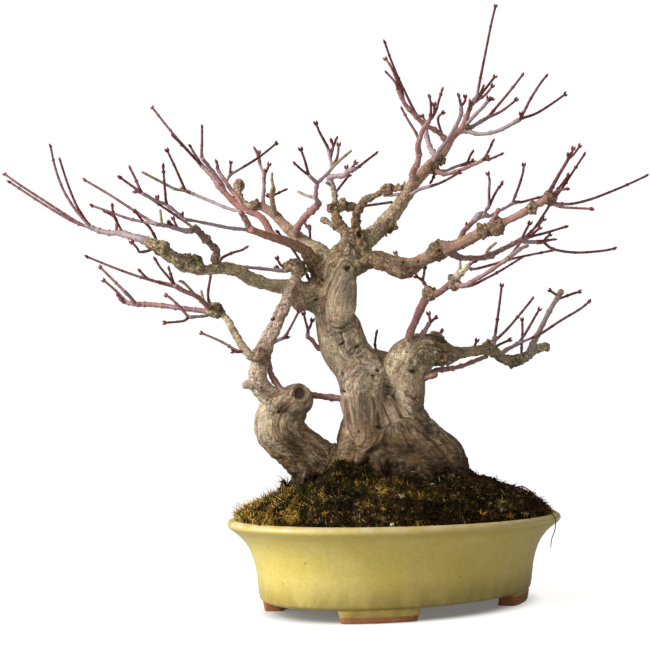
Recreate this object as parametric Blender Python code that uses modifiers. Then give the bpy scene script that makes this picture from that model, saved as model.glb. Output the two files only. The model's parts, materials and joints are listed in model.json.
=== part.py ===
"""A leafless Japanese maple bonsai in an oval, yellow-glazed pot, at its real size.

The pot stands on four feet and is filled with mounded soil. Moss lies on the soil, the tree's root pad
stands in a plain hole in it, and two mesh screens cover the drain holes inside the pot.
+X runs along the tree's spread, +Y away from its front, +Z up, with the whole object's box centred on Z.
Lengths are in millimetres here and are turned to metres where a mesh is made.
"""

import math
from typing import NamedTuple

import bmesh
import bpy
import numpy as np

MM = 0.001
GAP = 0.35  # kept between pieces that touch

# The pot: an oval dish turned from the tree's front
POT_X, POT_Y = 65.2, 0.0
POT_TURN = math.radians(43)
POT_HALF_LENGTH = 155.0
POT_HALF_WIDTH = 108.0
FOOT_HEIGHT = 9.0
FLOOR_TOP = 16.0
# Its section from the foot line up the outside, over the lip and down the inside: inset from the rim, height
POT_OUTSIDE = ((31, 9), (26.6, 10.6), (24.6, 14), (22.6, 30), (20.2, 40), (16.6, 49), (12.2, 55.4), (7.6, 60),
               (2.4, 64), (0, 66.6), (0.7, 69.4), (3.4, 71))
POT_INSIDE = ((6.4, 70.7), (8.4, 68), (14, 60.5), (20, 52), (25, 40), (28.4, 22), (31.8, 17), (37, 16))
POT_STEPS = 48

FOOT_ANGLE = math.radians(48)
FOOT_LENGTH_TOP, FOOT_LENGTH_BOTTOM = 65.0, 61.0
FOOT_INSET_TOP, FOOT_INSET_BOTTOM = 26.6, 28.0
FOOT_THICKNESS = 15.0
FOOT_STEPS = 7

DRAIN_REACH = 56.0
DRAIN_RADIUS = 9.0
SCREEN_SIDE = 34.0
SCREEN_THICKNESS = 1.4
SCREEN_HOLE = 6.0
SCREEN_PITCH = 9.6
SCREEN_ROWS = 3

# The soil and the moss on it
SOIL_EDGE_INSET, SOIL_EDGE_HEIGHT = 11.0, 65.5
SOIL_RISE = 27.0
SOIL_FULLNESS = 8.5
SOIL_BUMP = 1.6
SOIL_SHARES = (1, 0.97, 0.93, 0.86, 0.74, 0.56, 0.3)
MOSS_THICK = 5.5
MOSS_BUMP = 2.4
MOSS_ROWS = 7
MOSS_SINK = 2.5
MOSS_CLEAR = 2.6  # kept off the roots

# The root pad, as it stands in the soil
PAD_X, PAD_Y = -10.7, 0.0
PAD_HALF_LENGTH, PAD_HALF_WIDTH = 76.0, 66.0
PAD_SECTION = ((0.80, 66), (0.93, 80), (1.0, 92), (0.96, 98), (0.86, 102), (0.66, 105))
PAD_LOBES, PAD_LOBE_DEPTH = 7, 0.035
PAD_STEPS = 30

# The front elevation that the tree is set out on: a sheet of 650 squares each way, 0.8 mm a square at the
# pot's centre, as it looks from an eye in front of the pot. x runs right and y runs down.
SHEET_MIDDLE = 325.0
SHEET_SQUARE = 0.8
SIGHT_SQUARES = 1306.0
EYE_AHEAD = 1058.0
EYE_SIDE = -60.5
EYE_HEIGHT = 149.0
EYE_PITCH = math.radians(4.03)
TWIG_LEAN = 0.65  # the most depth that a free twig gains for its length

CORE_VOXEL = 1.9
CORE_SMOOTHING = 5
CORE_KEEP = 0.0225
LIMB_SIDES, BRANCH_SIDES, SLIM_SIDES, TWIG_SIDES = 14, 6, 4, 3
SLIM_BRANCH = 2.1  # a branch of less radius has fewer sides
TWIG_SWELL = 1.15  # makes a three-sided twig as thick as it looks
STRAIGHT = 1.7  # squares that a point may lie off a straight line before a slim shoot needs it
ROOT_SINK = 5.0  # squares: a shoot whose route starts this near its parent's middle starts there
ROOT_TAPER = 0.75  # a shoot's width where it starts inside its parent, as a share
ROOT_SETBACK = 8.0  # squares from a parent's tip to the nearest place that a shoot may root at


class Shoot(NamedTuple):
    """A length of wood: widths in squares and depths in mm behind its root, spread evenly over its route."""

    name: str
    parent: str
    bark: str
    widths: str
    depths: str
    route: str


# Old wood, thick enough to grow together at its forks
LIMBS = (
    Shoot("trunk", "", "old", "138 134 112 97 94 76 55 49 50 47 49 45 39 39 38 32", "0 0 0 -2 -5 -8",
          "402,494 400,472 393,454 386,439 380,425 374,411 368,398 362,383 357,368 348,356 343,344 339,330"
          " 335,315 334,300 335,285 338,268"),
    Shoot("left_base", "trunk", "old", "58 55 51 48 52 47 40", "-6 -10 -16 -20 -20",
          "342,488 325,471 307,456 291,442 280,428 283,413 293,402"),
    Shoot("left_riser", "left_base", "old", "30 25 21 20 19 17 16 14 13 12 11 10",
          "0 -4 -8 -12 -14 -10 -4 4",
          "292,402 277,399 266,393 259,384 258,372 262,357 266,343 275,326 283,309 288,297 294,283 298,272"),
    Shoot("left_main", "trunk", "olive", "36 28 17 13 14 13 12 11 15 13 12 11 8",
          "0 -10 -24 -38 -52 -66 -74 -72",
          "318,296 305,294 291,288 270,285 252,279 235,270 216,268 204,270 190,266 172,257 160,250 150,243"
          " 141,239"),
    Shoot("upper_left", "trunk", "olive", "22 17 14 12 11 10 9 8", "0 14 32 50 64 76",
          "330,268 320,252 310,246 298,237 285,226 275,215 265,208 256,205"),
    Shoot("salmon_limb", "trunk", "salmon", "18 12 10 9 8.5 8", "0 -16 -32 -48 -60",
          "318,268 305,251 290,243 275,238 262,234 250,229"),
    Shoot("rose_limb", "salmon_limb", "salmon", "9 8 7.5 7 7 7 6.5 6", "0 16 32 46 56",
          "276,240 270,232 265,222 258,215 250,212 240,207 229,197 219,186"),
    Shoot("upper_right", "trunk", "olive", "30 21 17 16 15 14 13 13 12 12 11 10 8 7 6",
          "0 10 24 38 48 54 58",
          "352,258 362,242 375,231 383,220 393,208 402,196 410,185 416,177 424,171 432,164 440,155 445,149"
          " 451,139 457,133 463,127"),
    Shoot("right_main", "trunk", "olive", "30 19 19 21 17 13 18 13 12 12 12 12 8 8 9 8 9",
          "0 -12 -28 -44 -58 -70 -80 -86",
          "350,264 370,259 385,262 403,268 415,265 425,259 440,251 452,247 462,243 475,236 485,231 497,225"
          " 506,221 517,216 530,209 540,203 549,198"),
    Shoot("saddle", "trunk", "old", "30 34 32 34 36", "12 16 16 10 4",
          "350,374 368,366 382,367 396,376 404,388"),
    Shoot("right_base", "trunk", "old", "40 40 41 46 48 41 34 26 16", "-8 -10 -6 0 6 10 14",
          "397,420 404,402 405,389 404,375 408,363 416,355 428,351 440,352 450,353"),
    Shoot("right_low", "right_base", "old", "15 12 11 11 13 11 10 10 12 9 9 9 9 8", "0 14 34 52 64 70",
          "450,353 460,353 470,351.5 480,350 488,349.5 495,353 502,358 510,361 518,360 526,356 531,353"
          " 536,349 543,347 549,347"),
    Shoot("right_riser", "right_base", "salmon", "12 10 8.5 8 9 9 9 8 7 7 8 9", "0 -10 -24 -40 -54 -64",
          "404,354 408,342 411,331 415,322 420,310 425,300 430,294 438,293 445,288 450,284 453,283 456,282"),
    Shoot("low_left", "left_riser", "olive", "11 9 8 7 7 8", "0 18 38 56 68",
          "258,364 248,353 240,343 232,328 226,318 217,309"),
    Shoot("crown_stem", "trunk", "olive", "14 10 8.5 8 8", "0 14 28 38",
          "350,244 343,229 338,221 335,214 334,207"),
    Shoot("front_stem", "trunk", "olive", "11 9 8 8 8 7 6.5 6.5 6", "0 -14 -32 -46 -56 -64",
          "355,240 356,223 357,213 361,206 366,199 375,196 385,190 395,189 403,187"),
)

# Knobs, burls and healed cuts: the shoot each is on, its place on the sheet, its radius in squares and how
# many mm it lies in front of the shoot's middle
KNOBS = (
    ("trunk", 318, 282, 8, 6), ("trunk", 341, 254, 12, -4), ("trunk", 354, 244, 14, 4),
    ("trunk", 352, 262, 13, 2), ("trunk", 339, 323, 14, 8), ("trunk", 372, 374, 16, 6),
    ("left_base", 296, 400, 17, 4),
    ("left_riser", 262, 356, 9, 3), ("left_riser", 299, 269, 8, 0), ("left_riser", 288, 267, 5, 2),
    ("left_riser", 294, 263, 5, -2), ("left_main", 196, 263, 7, 1), ("left_main", 184, 262, 8, 0),
    ("left_main", 160, 247, 7.5, 1), ("left_main", 302, 300, 12, 3), ("low_left", 215, 310, 8.5, 0),
    ("upper_left", 256, 205, 5.5, 0), ("right_base", 436, 343, 10, 0), ("right_base", 441, 357, 8, 7),
    ("right_base", 411, 364, 15, 10), ("right_base", 408, 349, 9, 0), ("right_low", 489, 347, 7, 0),
    ("right_low", 514, 361, 6.5, 1), ("right_riser", 430, 293, 7, 2), ("right_riser", 455, 283, 6.5, 1),
    ("right_riser", 452, 278, 4.5, -1), ("right_main", 438, 251, 10, 1), ("right_main", 403, 268, 11.5, 2),
    ("right_main", 497, 226, 8, 1), ("right_main", 485, 231, 7, 1), ("right_main", 532, 208, 5.6, 1),
    ("right_main", 550, 199, 6, 0), ("upper_right", 441, 160, 5.5, 2), ("upper_right", 432, 167, 6.6, 0),
    ("upper_right", 390, 226, 7, 1), ("upper_right", 466, 129, 5, 0), ("crown_stem", 333, 207, 5.5, 1),
    ("crown_stem", 343, 205, 6.5, 0), ("crown_stem", 350, 207, 5, -1), ("front_stem", 388, 190, 6, 1),
)

# Younger wood, from a finger's width down to a pencil lead's
BRANCHES = (
    Shoot("riser_nub", "left_riser", "old", "12 8 4", "-3 -4 -6", "257,384 248,384.5 242,387"),
    Shoot("riser_stub", "left_riser", "dead", "5 4", "-4 -7", "256,359 246,357"),
    Shoot("riser_pink", "left_riser", "salmon", "5 6 6 6 6 5", "8 11 11 8 6 3",
          "267,350 268,362 270,372 275,381 281,389 288,395"),
    Shoot("bridge", "left_base", "salmon", "6 6 6.5 6.5 6", "11 17 20 14 8",
          "304,394 315,395.5 328,397 343,399 352,400"),
    Shoot("riser_lilac", "left_riser", "lilac", "4 3.5 3", "", "268,344 273,342.5 283,338"),
    Shoot("cluster_lilac", "left_riser", "lilac", "4 4 3.5 3 3", "",
          "292,270 285,271 265,269 245,267 237,266"),
    Shoot("trunk_sprig", "trunk", "salmon", "5 4 4", "", "321,349 312,340 306,336"),
    Shoot("trunk_spur", "trunk_sprig", "lilac", "3.5 3", "", "308,337 308,330"),
    Shoot("left_end", "left_main", "lilac", "7.5 6.5 8 6 5.5 5.5 5", "0 8 17 25",
          "141,239 130,236 124,234 119,233 110,233 100,231 90,227"),
    Shoot("left_side", "left_main", "olive", "8 7 7 7 7.5 7 8 6.5", "0 -11 -22 -31",
          "216,266 215,260 217,252 213,247 207,240 202,236 195,229 188,231"),
    Shoot("side_lilac", "left_side", "lilac", "5 4.5 4 4", "", "188,231 178,229 168,226 154,224"),
    Shoot("salmon_end", "salmon_limb", "salmon", "7 6 5.5 5", "0 -7 -14",
          "250,229 247,222 243,216 240,211"),
    Shoot("long_lilac", "salmon_limb", "lilac", "4 3.5 3.2 3 3", "0 -14 -25 -36",
          "249,230 230,228 210,224 195,221 184,219"),
    Shoot("long_lilac_up", "long_lilac", "lilac", "3 3", "0 -8", "184,219 175,211 167,205"),
    Shoot("long_lilac_out", "long_lilac_up", "lilac", "3 2.8", "0 -11", "167,205 155,200 142,193"),
    Shoot("rose_lilac", "rose_limb", "lilac", "3.2 3", "0 17 28", "252,213 230,209 210,201 186,191"),
    Shoot("rose_end", "rose_limb", "salmon", "6 5 4.5 4", "0 8 14", "219,186 214,179 208,172 200,164"),
    Shoot("rose_end_lilac", "rose_limb", "lilac", "4 3.5 3.5", "0 -11 -20", "222,184 210,168 202,158"),
    Shoot("rose_fork", "rose_limb", "salmon", "5.5 5 4.5 4 3.5 3", "0 11 22 34",
          "243,208 238,198 232,191 226,182 219,172 217,167"),
    Shoot("fork_spur", "rose_fork", "lilac", "3.2 3", "0 11", "226,182 230,175 233,172"),
    Shoot("knuckle_stem", "upper_left", "olive", "6 5 6 12 12", "0 6 11 14",
          "250,206 244,202 239,193 239,186 240,180"),
    Shoot("upright_lilac", "upper_left", "lilac", "4.5 4 3.5 3", "0 11 20",
          "262,207 263,198 264,188 264,175"),
    Shoot("upright_left", "upright_lilac", "lilac", "3 2.8", "0 8", "264,175 260,165 259,158"),
    Shoot("brown_stem", "upper_left", "dead", "6 5 5 4", "0 -11 -20", "277,217 274,210 272,197 273,187"),
    Shoot("inner_rose", "upper_left", "salmon", "8 7 7 7 8", "0 -17 -31 -42",
          "299,238 296,231 301,222 309,213 318,205"),
    Shoot("inner_up", "inner_rose", "lilac", "6 4.5 4 4", "0 -8 -14", "318,204 316,198 316,191 317,184"),
    Shoot("inner_left", "inner_up", "lilac", "3.5 3", "0 -7", "317,184 309,175"),
    Shoot("inner_right", "inner_up", "lilac", "3.5 3.2 3 2.8", "0 8 17", "317,184 331,169 330,158 328,148"),
    Shoot("crown_stub", "crown_stem", "olive", "8 6 5 5", "0 11 20", "345,231 337,227 328,222 321,219"),
    Shoot("crown_up", "crown_stem", "olive", "7 6 5.5 5 6", "0 8 14",
          "335,208 335,200 334,190 332,185 330,178"),
    Shoot("crown_lilac", "crown_up", "lilac", "6 5 5 5.5 4", "0 -8 -14",
          "330,178 337,176 343,176 349,171 357,168"),
    Shoot("crown_red", "crown_stem", "red", "3.5 3 2.4", "0 8 20", "350,206 363,206 393,202"),
    Shoot("front_lilac", "front_stem", "lilac", "3.5 3", "", "385,191 389,195 400,194"),
    Shoot("inner_riser", "upper_right", "salmon", "8 6.5 6 6 6.5 5 5 4.5 4", "0 -14 -25 -34 -39",
          "411,184 413,172 417,165 419,155 418,147 420,138 423,130 427,124 430,119"),
    Shoot("slim_riser", "upper_right", "lilac", "7 6 5 5 4.5", "0 11 20",
          "438,159 434,154 430,147 427,137 425,127"),
    Shoot("pink_riser", "upper_right", "salmon", "6 5.5 5 5 5 4.5 4", "0 -11 -22 -31",
          "447,145 443,137 435,130 425,125 415,115 405,104 398,90"),
    Shoot("front_riser", "upper_right", "lilac", "5 4.5 4 4 4 4 3.5", "-6 -22 -34 -42 -45",
          "433,163 440,150 447,141 452,133 458,122 461,114 461,106"),
    Shoot("top_stem", "upper_right", "salmon", "6 5 5 6.5", "0 11 20", "463,127 468,113 472,104 476,99"),
    Shoot("top_side", "upper_right", "lilac", "4 3.8 3.4 3.2", "0 -11 -22",
          "464,127 475,115 484,106 488,101"),
    Shoot("out_lilac", "upper_right", "lilac", "5 4 4 3.6", "0 11 22", "466,130 472,127 480,122 487,118"),
    Shoot("out_grey", "upper_right", "grey", "5 4 4 4 4 4", "0 -11 -22 -28",
          "466,131 478,134 490,133 500,130 510,125 520,119"),
    Shoot("mid_grey", "upper_right", "grey", "3.4 3 3 2.8", "0 20 31", "435,169 445,171 455,167 467,163"),
    Shoot("mid_lilac", "upper_right", "salmon", "5 4.2 4 4 3.4 3", "0 -14 -28 -36",
          "434,170 445,174 458,171 470,166 477,163 483,160"),
    Shoot("inner_lilac", "upper_right", "lilac", "4.5 3.6 3.4 3", "0 -11 -20",
          "407,190 411,194 420,189 431,186"),
    Shoot("right_riser_thin", "right_riser", "lilac", "3.6 3", "0 14", "429,291 427,288 423,281"),
    Shoot("mauve_side", "right_main", "mauve", "6 5.5 5.5 5 6", "0 11 22",
          "458,245 461,238 464,231 472,223 479,215"),
    Shoot("mauve_out", "mauve_side", "lilac", "6 6 3.5 3 3 3 4.5", "0 8 17 25",
          "479,215 485,215 490,216 497,212 505,208 512,204 517,202"),
    Shoot("mauve_up", "mauve_side", "lilac", "4 3 3.4", "0 -8", "484,215 486,210 489,206"),
    Shoot("pink_side", "right_main", "salmon", "5 4 3.5 3.5 6", "0 -11 -17",
          "485,233 490,226 494,218 497,213 499,208"),
    Shoot("right_under", "right_main", "mauve", "9 7 6 5.5 5.5 6.5 5.5 5 5 5.5 4.5", "0 17 31 42 50",
          "447,250 455,255 462,258 470,258 480,258 489,256 497,252 505,248 515,243 521,240 530,236"),
    Shoot("under_lilac", "right_under", "lilac", "4.5 4 4.5", "0 11", "519,242 530,242 543,242"),
    Shoot("riser_end", "right_riser", "olive", "9 7.5 6 6", "0 -6 -11", "456,281 459,274 463,271 469,265"),
    Shoot("long_mauve", "right_riser", "mauve", "6 5 4.5 4 4 5", "0 -17 -28 -36",
          "456,285 463,286 475,280 490,271 500,264 510,257"),
    Shoot("mauve_tip", "long_mauve", "lilac", "4.5 4 3", "", "510,257 520,249 529,245"),
    Shoot("base_lilac", "right_base", "lilac", "7 6 4.5 4.5", "-3 -8 -14",
          "421,350 421,338 426,329 430,322"),
    Shoot("base_pink", "right_base", "salmon", "7 5.5 5", "-3 -8 -11", "416,380 426,378 438,374"),
    Shoot("under_pink", "right_base", "salmon", "7 6 5 4.5 4.5 4.5 4", "8 14 17 22 31 39",
          "428,372 438,370 447,369 456,367.5 466,364.5 476,360.5 488,356"),
    Shoot("low_lilac", "right_low", "lilac", "6.5 5 4.5", "0 -8", "492,347 494,341 495,336"),
    Shoot("low_side", "right_low", "lilac", "5.5 4.5 4 4 5", "0 11 20",
          "500,355 506,350 512,347 517,344 521,342"),
    Shoot("low_up", "right_low", "grey", "8 6.5 5.5 5 5 4.5 6", "0 -8 -20 -28",
          "529,355 533,344 537,336 543,324 550,310 556,300 559,296"),
    Shoot("low_up_stub", "low_up", "dead", "5 5", "", "559,296 562,289"),
    Shoot("left_brown", "low_left", "mauve", "7 5.5 5 5 5 5", "0 14 25 34",
          "213,310 205,311 180,308 165,306 150,304.5 136,304"),
    Shoot("left_brown_fork", "left_brown", "mauve", "4.5 3.6 3.2", "0 -8", "136,304 130,297 123,290"),
    Shoot("left_brown_low", "left_brown", "mauve", "4.5 4 4.5", "0 8", "136,304 128,303 122,301"),
    Shoot("left_grey", "low_left", "grey", "3.6 3 3", "0 -14", "213,313 205,316 189,317"),
    Shoot("left_rose", "low_left", "salmon", "7 5.5 5 5 4.5 5", "0 -17 -31 -39",
          "213,309 207,306 203,302 196,296 184,291 174,285"),
)

# Last year's twigs, each with its pair of end buds, under the shoot that they grow from
TWIGS = {
    "left_end": (
        "88,226 79,223 60,211 40,198 20,185 3,173", "88,227 70,220 40,202 8,181",
        "90,226 78,213 69,200 62,187 55,167 50,144",
        "90,226 79,210 74,200 67,182 59,157", "124,231 114,216 112,203", "116,219 103,210"),
    "left_main": (
        "156,240 150,228 143,221 133,209", "150,250 140,252 137,248 130,240",
        "221,259 232,253 242,250 248,246"),
    "side_lilac": (
        "155,224 130,219 110,212 90,205", "154,223 130,208 110,195 83,179", "178,228 172,216",
        "178,229 167,221"),
    "left_side": ("191,229 181,219 160,205 142,193",),
    "long_lilac": ("184,219 181,212",),
    "long_lilac_up": ("167,205 165,190 163,164",),
    "long_lilac_out": ("142,193 118,176", "142,193 135,178 129,166", "144,194 133,190", "158,201 157,195"),
    "rose_lilac": ("186,191 183,185 175,167 166,148", "186,191 182,186"),
    "rose_end": ("201,165 190,153 170,130 151,106", "202,166 184,147 171,134", "201,164 194,153 189,144"),
    "rose_end_lilac": ("202,158 202,140 202,124",),
    "fork_spur": ("233,172 231,160", "233,172 250,163 262,155 278,142"),
    "rose_fork": ("218,169 216,160",),
    "upright_left": ("259,158 254,147", "259,158 259,150"),
    "upright_lilac": ("264,176 267,170 270,162", "265,180 266,168"),
    "brown_stem": ("272,196 287,189", "272,199 266,194"),
    "inner_left": ("309,175 305,161 300,147", "309,175 303,171 293,162"),
    "inner_right": (
        "328,148 320,133 315,121", "330,156 334,145 337,137", "331,166 337,158 339,142",
        "330,160 333,146 330,139"),
    "inner_rose": ("308,215 310,208", "303,221 310,230 309,224"),
    "upper_left": ("310,245 310,235 309,225",),
    "trunk": (
        "313,284 303,266 293,250 276,230", "316,284 312,276 307,259", "320,282 314,270 313,258",
        "322,280 317,272 317,258"),
    "crown_lilac": ("357,168 366,161 378,152", "352,170 357,161", "347,172 346,165"),
    "crown_up": ("335,194 343,183 351,173",),
    "inner_riser": (
        "419,142 416,133 408,120 401,107", "430,119 431,106 429,94", "429,120 435,113 439,100 443,87",
        "434,114 434,102",
        "428,121 421,114"),
    "slim_riser": ("425,127 415,112 405,92 398,77 391,60 384,40",),
    "pink_riser": (
        "404,102 402,92 396,78 390,65 384,57", "398,90 395,82 385,71", "443,137 438,119 445,111"),
    "front_riser": ("461,106 460,101 458,93", "461,107 465,101 465,94"),
    "top_stem": (
        "476,99 480,80 483,65 487,45 491,25 496,4", "476,99 480,94 484,85", "477,99 490,83 496,75",
        "475,101 485,95 494,84",
        "466,119 469,108 470,99"),
    "top_side": ("487,102 489,95", "487,102 494,98"),
    "out_lilac": ("487,118 500,103 510,91 524,73", "487,118 500,112 510,105 518,98"),
    "out_grey": ("520,119 530,100 540,84 548,74", "520,119 535,114 550,105 567,93", "520,120 521,111"),
    "mid_grey": ("467,163 470,156 474,150", "467,164 475,160"),
    "mid_lilac": ("483,160 488,152 494,139", "483,160 490,159 504,153", "482,160 489,154"),
    "upper_right": ("434,169 434,175 430,184",),
    "inner_lilac": ("431,186 440,183 450,178 462,171",),
    "right_riser_thin": ("423,281 414,275", "423,281 424,274 425,265"),
    "right_main": (
        "398,264 397,256 394,251", "550,197 552,189 562,170 568,160 574,154 581,144",
        "565,165 568,158 569,152",
        "567,161 571,155 574,146", "553,200 557,195 563,187 576,167 586,152",
        "553,200 556,192 562,184 570,173",
        "551,198 553,193 560,190 570,188.5", "552,203 570,204 590,199.5 610,192 630,183.5 648,175",
        "552,204 561,207 575,208 594,209", "549,202 549,206 540,220 530,234"),
    "mauve_up": ("489,206 489,191 489.5,180 487,171", "489,206 496,192 503,182"),
    "mauve_side": ("465,230 466,227 468,222",),
    "mauve_out": ("516,202 519,186 523,172 524,162", "517,202 522,202 533,199 545,196"),
    "right_under": (
        "521,240 526,230 531,221", "526,238 538,225 546,217", "529,237 535,232 542,226",
        "529,237 545,233 568,226"),
    "under_lilac": (
        "543,242 546,238 552,233", "543,242 553,249 575,252.5 601,251 617,248", "543,241 557,239"),
    "riser_end": ("469,265 477,260", "468,267 475,269 505,261 520,257 555,250"),
    "long_mauve": ("459,286 470,286 485,279 500,271 526,255", "510,257 514,251 520,243"),
    "base_lilac": ("430,322 428,311", "430,323 433,320 438,316"),
    "right_base": ("437,338 440,334 443,329",),
    "saddle": ("378,356 375,345 377,330", "391,362 392,352"),
    "right_low": (
        "473,350 475,345 478,338", "493,350 497,346 505,342 512,339", "521,358 522,340 522.5,330 522,317"),
    "low_lilac": ("495,336 498,315 500,300 502,283", "495,337 499,337 510,326 530,302 534,296"),
    "low_side": ("521,342 540,334 560,321 580,309 591,300", "520,342 525,334 536,315 541,307"),
    "low_up": ("559,296 555,294 548,289", "559,297 572,294 582,291"),
    "trunk_spur": ("308,330 306,323 303,311", "308,330 310,327 313,318"),
    "riser_lilac": ("283,338 289,330 300,309", "284,338 289,335"),
    "left_riser": ("275,325 272,317", "293,266 282,266 276,256", "291,269 281,270 275,266"),
    "low_left": (
        "248,353 236,350 220,341 199,332", "246,352 238,352 230,351",
        "211,305 208,295 210,280 213,266 218,261"),
    "left_brown_fork": ("124,291 112,279 99,266",),
    "left_brown_low": ("126,303 115,290 102,279", "122,301 117,294"),
    "left_grey": ("189,317 180,307 169,297 164,295", "189,317 183,321 162,323"),
    "left_rose": (
        "174,285 150,280 120,270 85,256", "175,285 170,279 160,267 154,257", "175,286 172,278 168,266",
        "154,281 147,278 138,269"),
}

# Dead or pruned ends, without buds
STUBS = {
    "side_lilac": ("158,224 160,209",),
    "rose_lilac": ("187,191 175,189 165,184 141,171.5",),
    "brown_stem": ("274,190 272,181 272,172",),
    "inner_up": ("316,199 312,197 305,195 297,191",),
    "inner_right": ("331,169 339,161 352,150",),
    "crown_up": ("331,186 325,182",),
    "front_stem": ("402,187 405,181", "398,189 399,183"),
    "upper_right": ("380,226 387,237",),
    "right_under": ("486,256 488,250 497,242",),
    "riser_end": ("459,275 460,268 460,261",),
    "low_left": ("211,306 204,301 201,290",),
    "left_rose": ("197,297 184,283 178,281",),
    "right_low": ("458,358 452,362 446,366",),
}
SHORTEST_TWIG = 13.5  # squares: shorter spurs are left off these plain solids
TWIG_WIDTHS = "3.1 2.7 2.4"
STUB_WIDTHS = "3.2 2.6"
BUD_LENGTH, BUD_WIDTH = 6.0, 3.6  # in squares: the swelling of a pair of buds at a twig's end
TRIANGLE = "twig_section"


class Path(NamedTuple):
    """A shoot in space: its points on the sheet, their depths, centres and radii."""

    sheet: np.ndarray
    depth: np.ndarray
    centre: np.ndarray
    radius: np.ndarray


def clear_scene():
    for obj in list(bpy.data.objects):
        bpy.data.objects.remove(obj)


def new_collection(name):
    collection = bpy.data.collections.new(name)
    bpy.context.scene.collection.children.link(collection)
    return collection


def material(name, colour, roughness):
    """A plain finish: linear colour and roughness."""
    made = bpy.data.materials.new(name)
    made.use_nodes = True
    shader = made.node_tree.nodes["Principled BSDF"]
    shader.inputs["Base Color"].default_value = (*colour, 1.0)
    shader.inputs["Roughness"].default_value = roughness
    made.diffuse_color = (*colour, 1.0)
    return made


def add_object(name, mesh, collection):
    obj = bpy.data.objects.new(name, mesh)
    collection.objects.link(obj)
    return obj


def bake_modifiers(obj):
    """Gives an object the mesh that its modifiers make, and clears them."""
    graph = bpy.context.evaluated_depsgraph_get()
    mesh = bpy.data.meshes.new_from_object(obj.evaluated_get(graph))
    obj.modifiers.clear()
    obj.data = mesh


def boolean(obj, operation, collection, solver="EXACT"):
    """Joins or cuts an object with all that a collection holds, then removes what it held."""
    modifier = obj.modifiers.new(operation.title(), "BOOLEAN")
    modifier.operation = operation
    modifier.operand_type = "COLLECTION"
    modifier.collection = collection
    modifier.solver = solver
    bake_modifiers(obj)
    for other in list(collection.objects):
        bpy.data.objects.remove(other)
    bpy.data.collections.remove(collection)


# Lofts

def loft(name, rings, collection):
    """A closed solid through rings of equal count, in mm, from its lowest to its last, with flat caps."""
    bm = bmesh.new()
    made = [[bm.verts.new(point) for point in np.asarray(ring) * MM] for ring in rings]
    for lower, upper in zip(made, made[1:]):
        count = len(lower)
        for i in range(count):
            j = (i + 1) % count
            bm.faces.new((lower[i], lower[j], upper[j], upper[i]))
    bm.faces.new(made[0][::-1])
    bm.faces.new(made[-1])
    bmesh.ops.triangulate(bm, faces=bm.faces[:])
    bmesh.ops.recalc_face_normals(bm, faces=bm.faces[:])
    mesh = bpy.data.meshes.new(name)
    bm.to_mesh(mesh)
    bm.free()
    return add_object(name, mesh, collection)


def turned(across, along):
    """Turns points from the pot's own axes to the tree's, round the pot's centre."""
    x = across * math.cos(POT_TURN) - along * math.sin(POT_TURN)
    y = across * math.sin(POT_TURN) + along * math.cos(POT_TURN)
    return x + POT_X, y + POT_Y


def oval(inset, height, share=1.0, steps=POT_STEPS):
    """A ring of the pot: the rim's oval drawn in by an inset, then scaled by a share."""
    angle = np.linspace(0, 2 * math.pi, steps, endpoint=False)
    across = share * (POT_HALF_LENGTH - inset) * np.cos(angle)
    along = share * (POT_HALF_WIDTH - inset) * np.sin(angle)
    x, y = turned(across, along)
    return np.column_stack([x, y, np.broadcast_to(height, x.shape)])


# The pot

def foot_outline(middle, length, inset, height):
    """The plan of a foot: an outer arc along the base's oval and an inner one behind it."""
    def arc(extra, ends):
        half_length, half_width = POT_HALF_LENGTH - inset - extra, POT_HALF_WIDTH - inset - extra
        speed = math.hypot(half_length * math.sin(middle), half_width * math.cos(middle))
        angle = middle + np.linspace(-0.5, 0.5, FOOT_STEPS) * ends / speed
        return turned(half_length * np.cos(angle), half_width * np.sin(angle))

    outer = np.column_stack(arc(0.0, length))
    inner = np.column_stack(arc(FOOT_THICKNESS, length - 8.0))[::-1]
    ring = np.vstack([outer, inner])
    return np.column_stack([ring, np.full(len(ring), height)])


def build_pot(parts):
    rings = [oval(inset, height) for inset, height in POT_OUTSIDE + POT_INSIDE]
    pot = loft("pot", rings, parts)
    feet = new_collection("feet")
    quarter = (FOOT_ANGLE, math.pi - FOOT_ANGLE, math.pi + FOOT_ANGLE, -FOOT_ANGLE)
    for number, middle in enumerate(quarter):
        bottom = foot_outline(middle, FOOT_LENGTH_BOTTOM, FOOT_INSET_BOTTOM, 0.0)
        shoulder = foot_outline(middle, FOOT_LENGTH_TOP, FOOT_INSET_TOP, FOOT_HEIGHT - 1.5)
        top = foot_outline(middle, FOOT_LENGTH_TOP + 4.0, FOOT_INSET_TOP + 2.5, FOOT_HEIGHT + 3.0)
        loft(f"foot_{number}", [bottom, shoulder, top], feet)
    boolean(pot, "UNION", feet)
    drains = new_collection("drains")
    for side in (-1, 1):
        x, y = turned(side * DRAIN_REACH, 0.0)
        bpy.ops.mesh.primitive_cylinder_add(
            vertices=24, radius=DRAIN_RADIUS * MM, depth=4 * FLOOR_TOP * MM, location=(x * MM, y * MM, 0))
        move_to(bpy.context.object, drains)
    boolean(pot, "DIFFERENCE", drains)
    return pot


def keep_outer_skin(obj):
    """Drops what joining sealed inside an object, and any loose scrap: only its largest shell stays."""
    bm = bmesh.new()
    bm.from_mesh(obj.data)
    waiting, shells = set(bm.verts), []
    while waiting:
        shell, front = set(), [waiting.pop()]
        while front:
            vert = front.pop()
            shell.add(vert)
            near = {edge.other_vert(vert) for edge in vert.link_edges} & waiting
            waiting -= near
            front.extend(near)
        shells.append(shell)
    shells.sort(key=len)
    bmesh.ops.delete(bm, geom=[vert for shell in shells[:-1] for vert in shell])
    bm.to_mesh(obj.data)
    bm.free()


def move_to(obj, collection):
    for owner in list(obj.users_collection):
        owner.objects.unlink(obj)
    collection.objects.link(obj)


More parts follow.
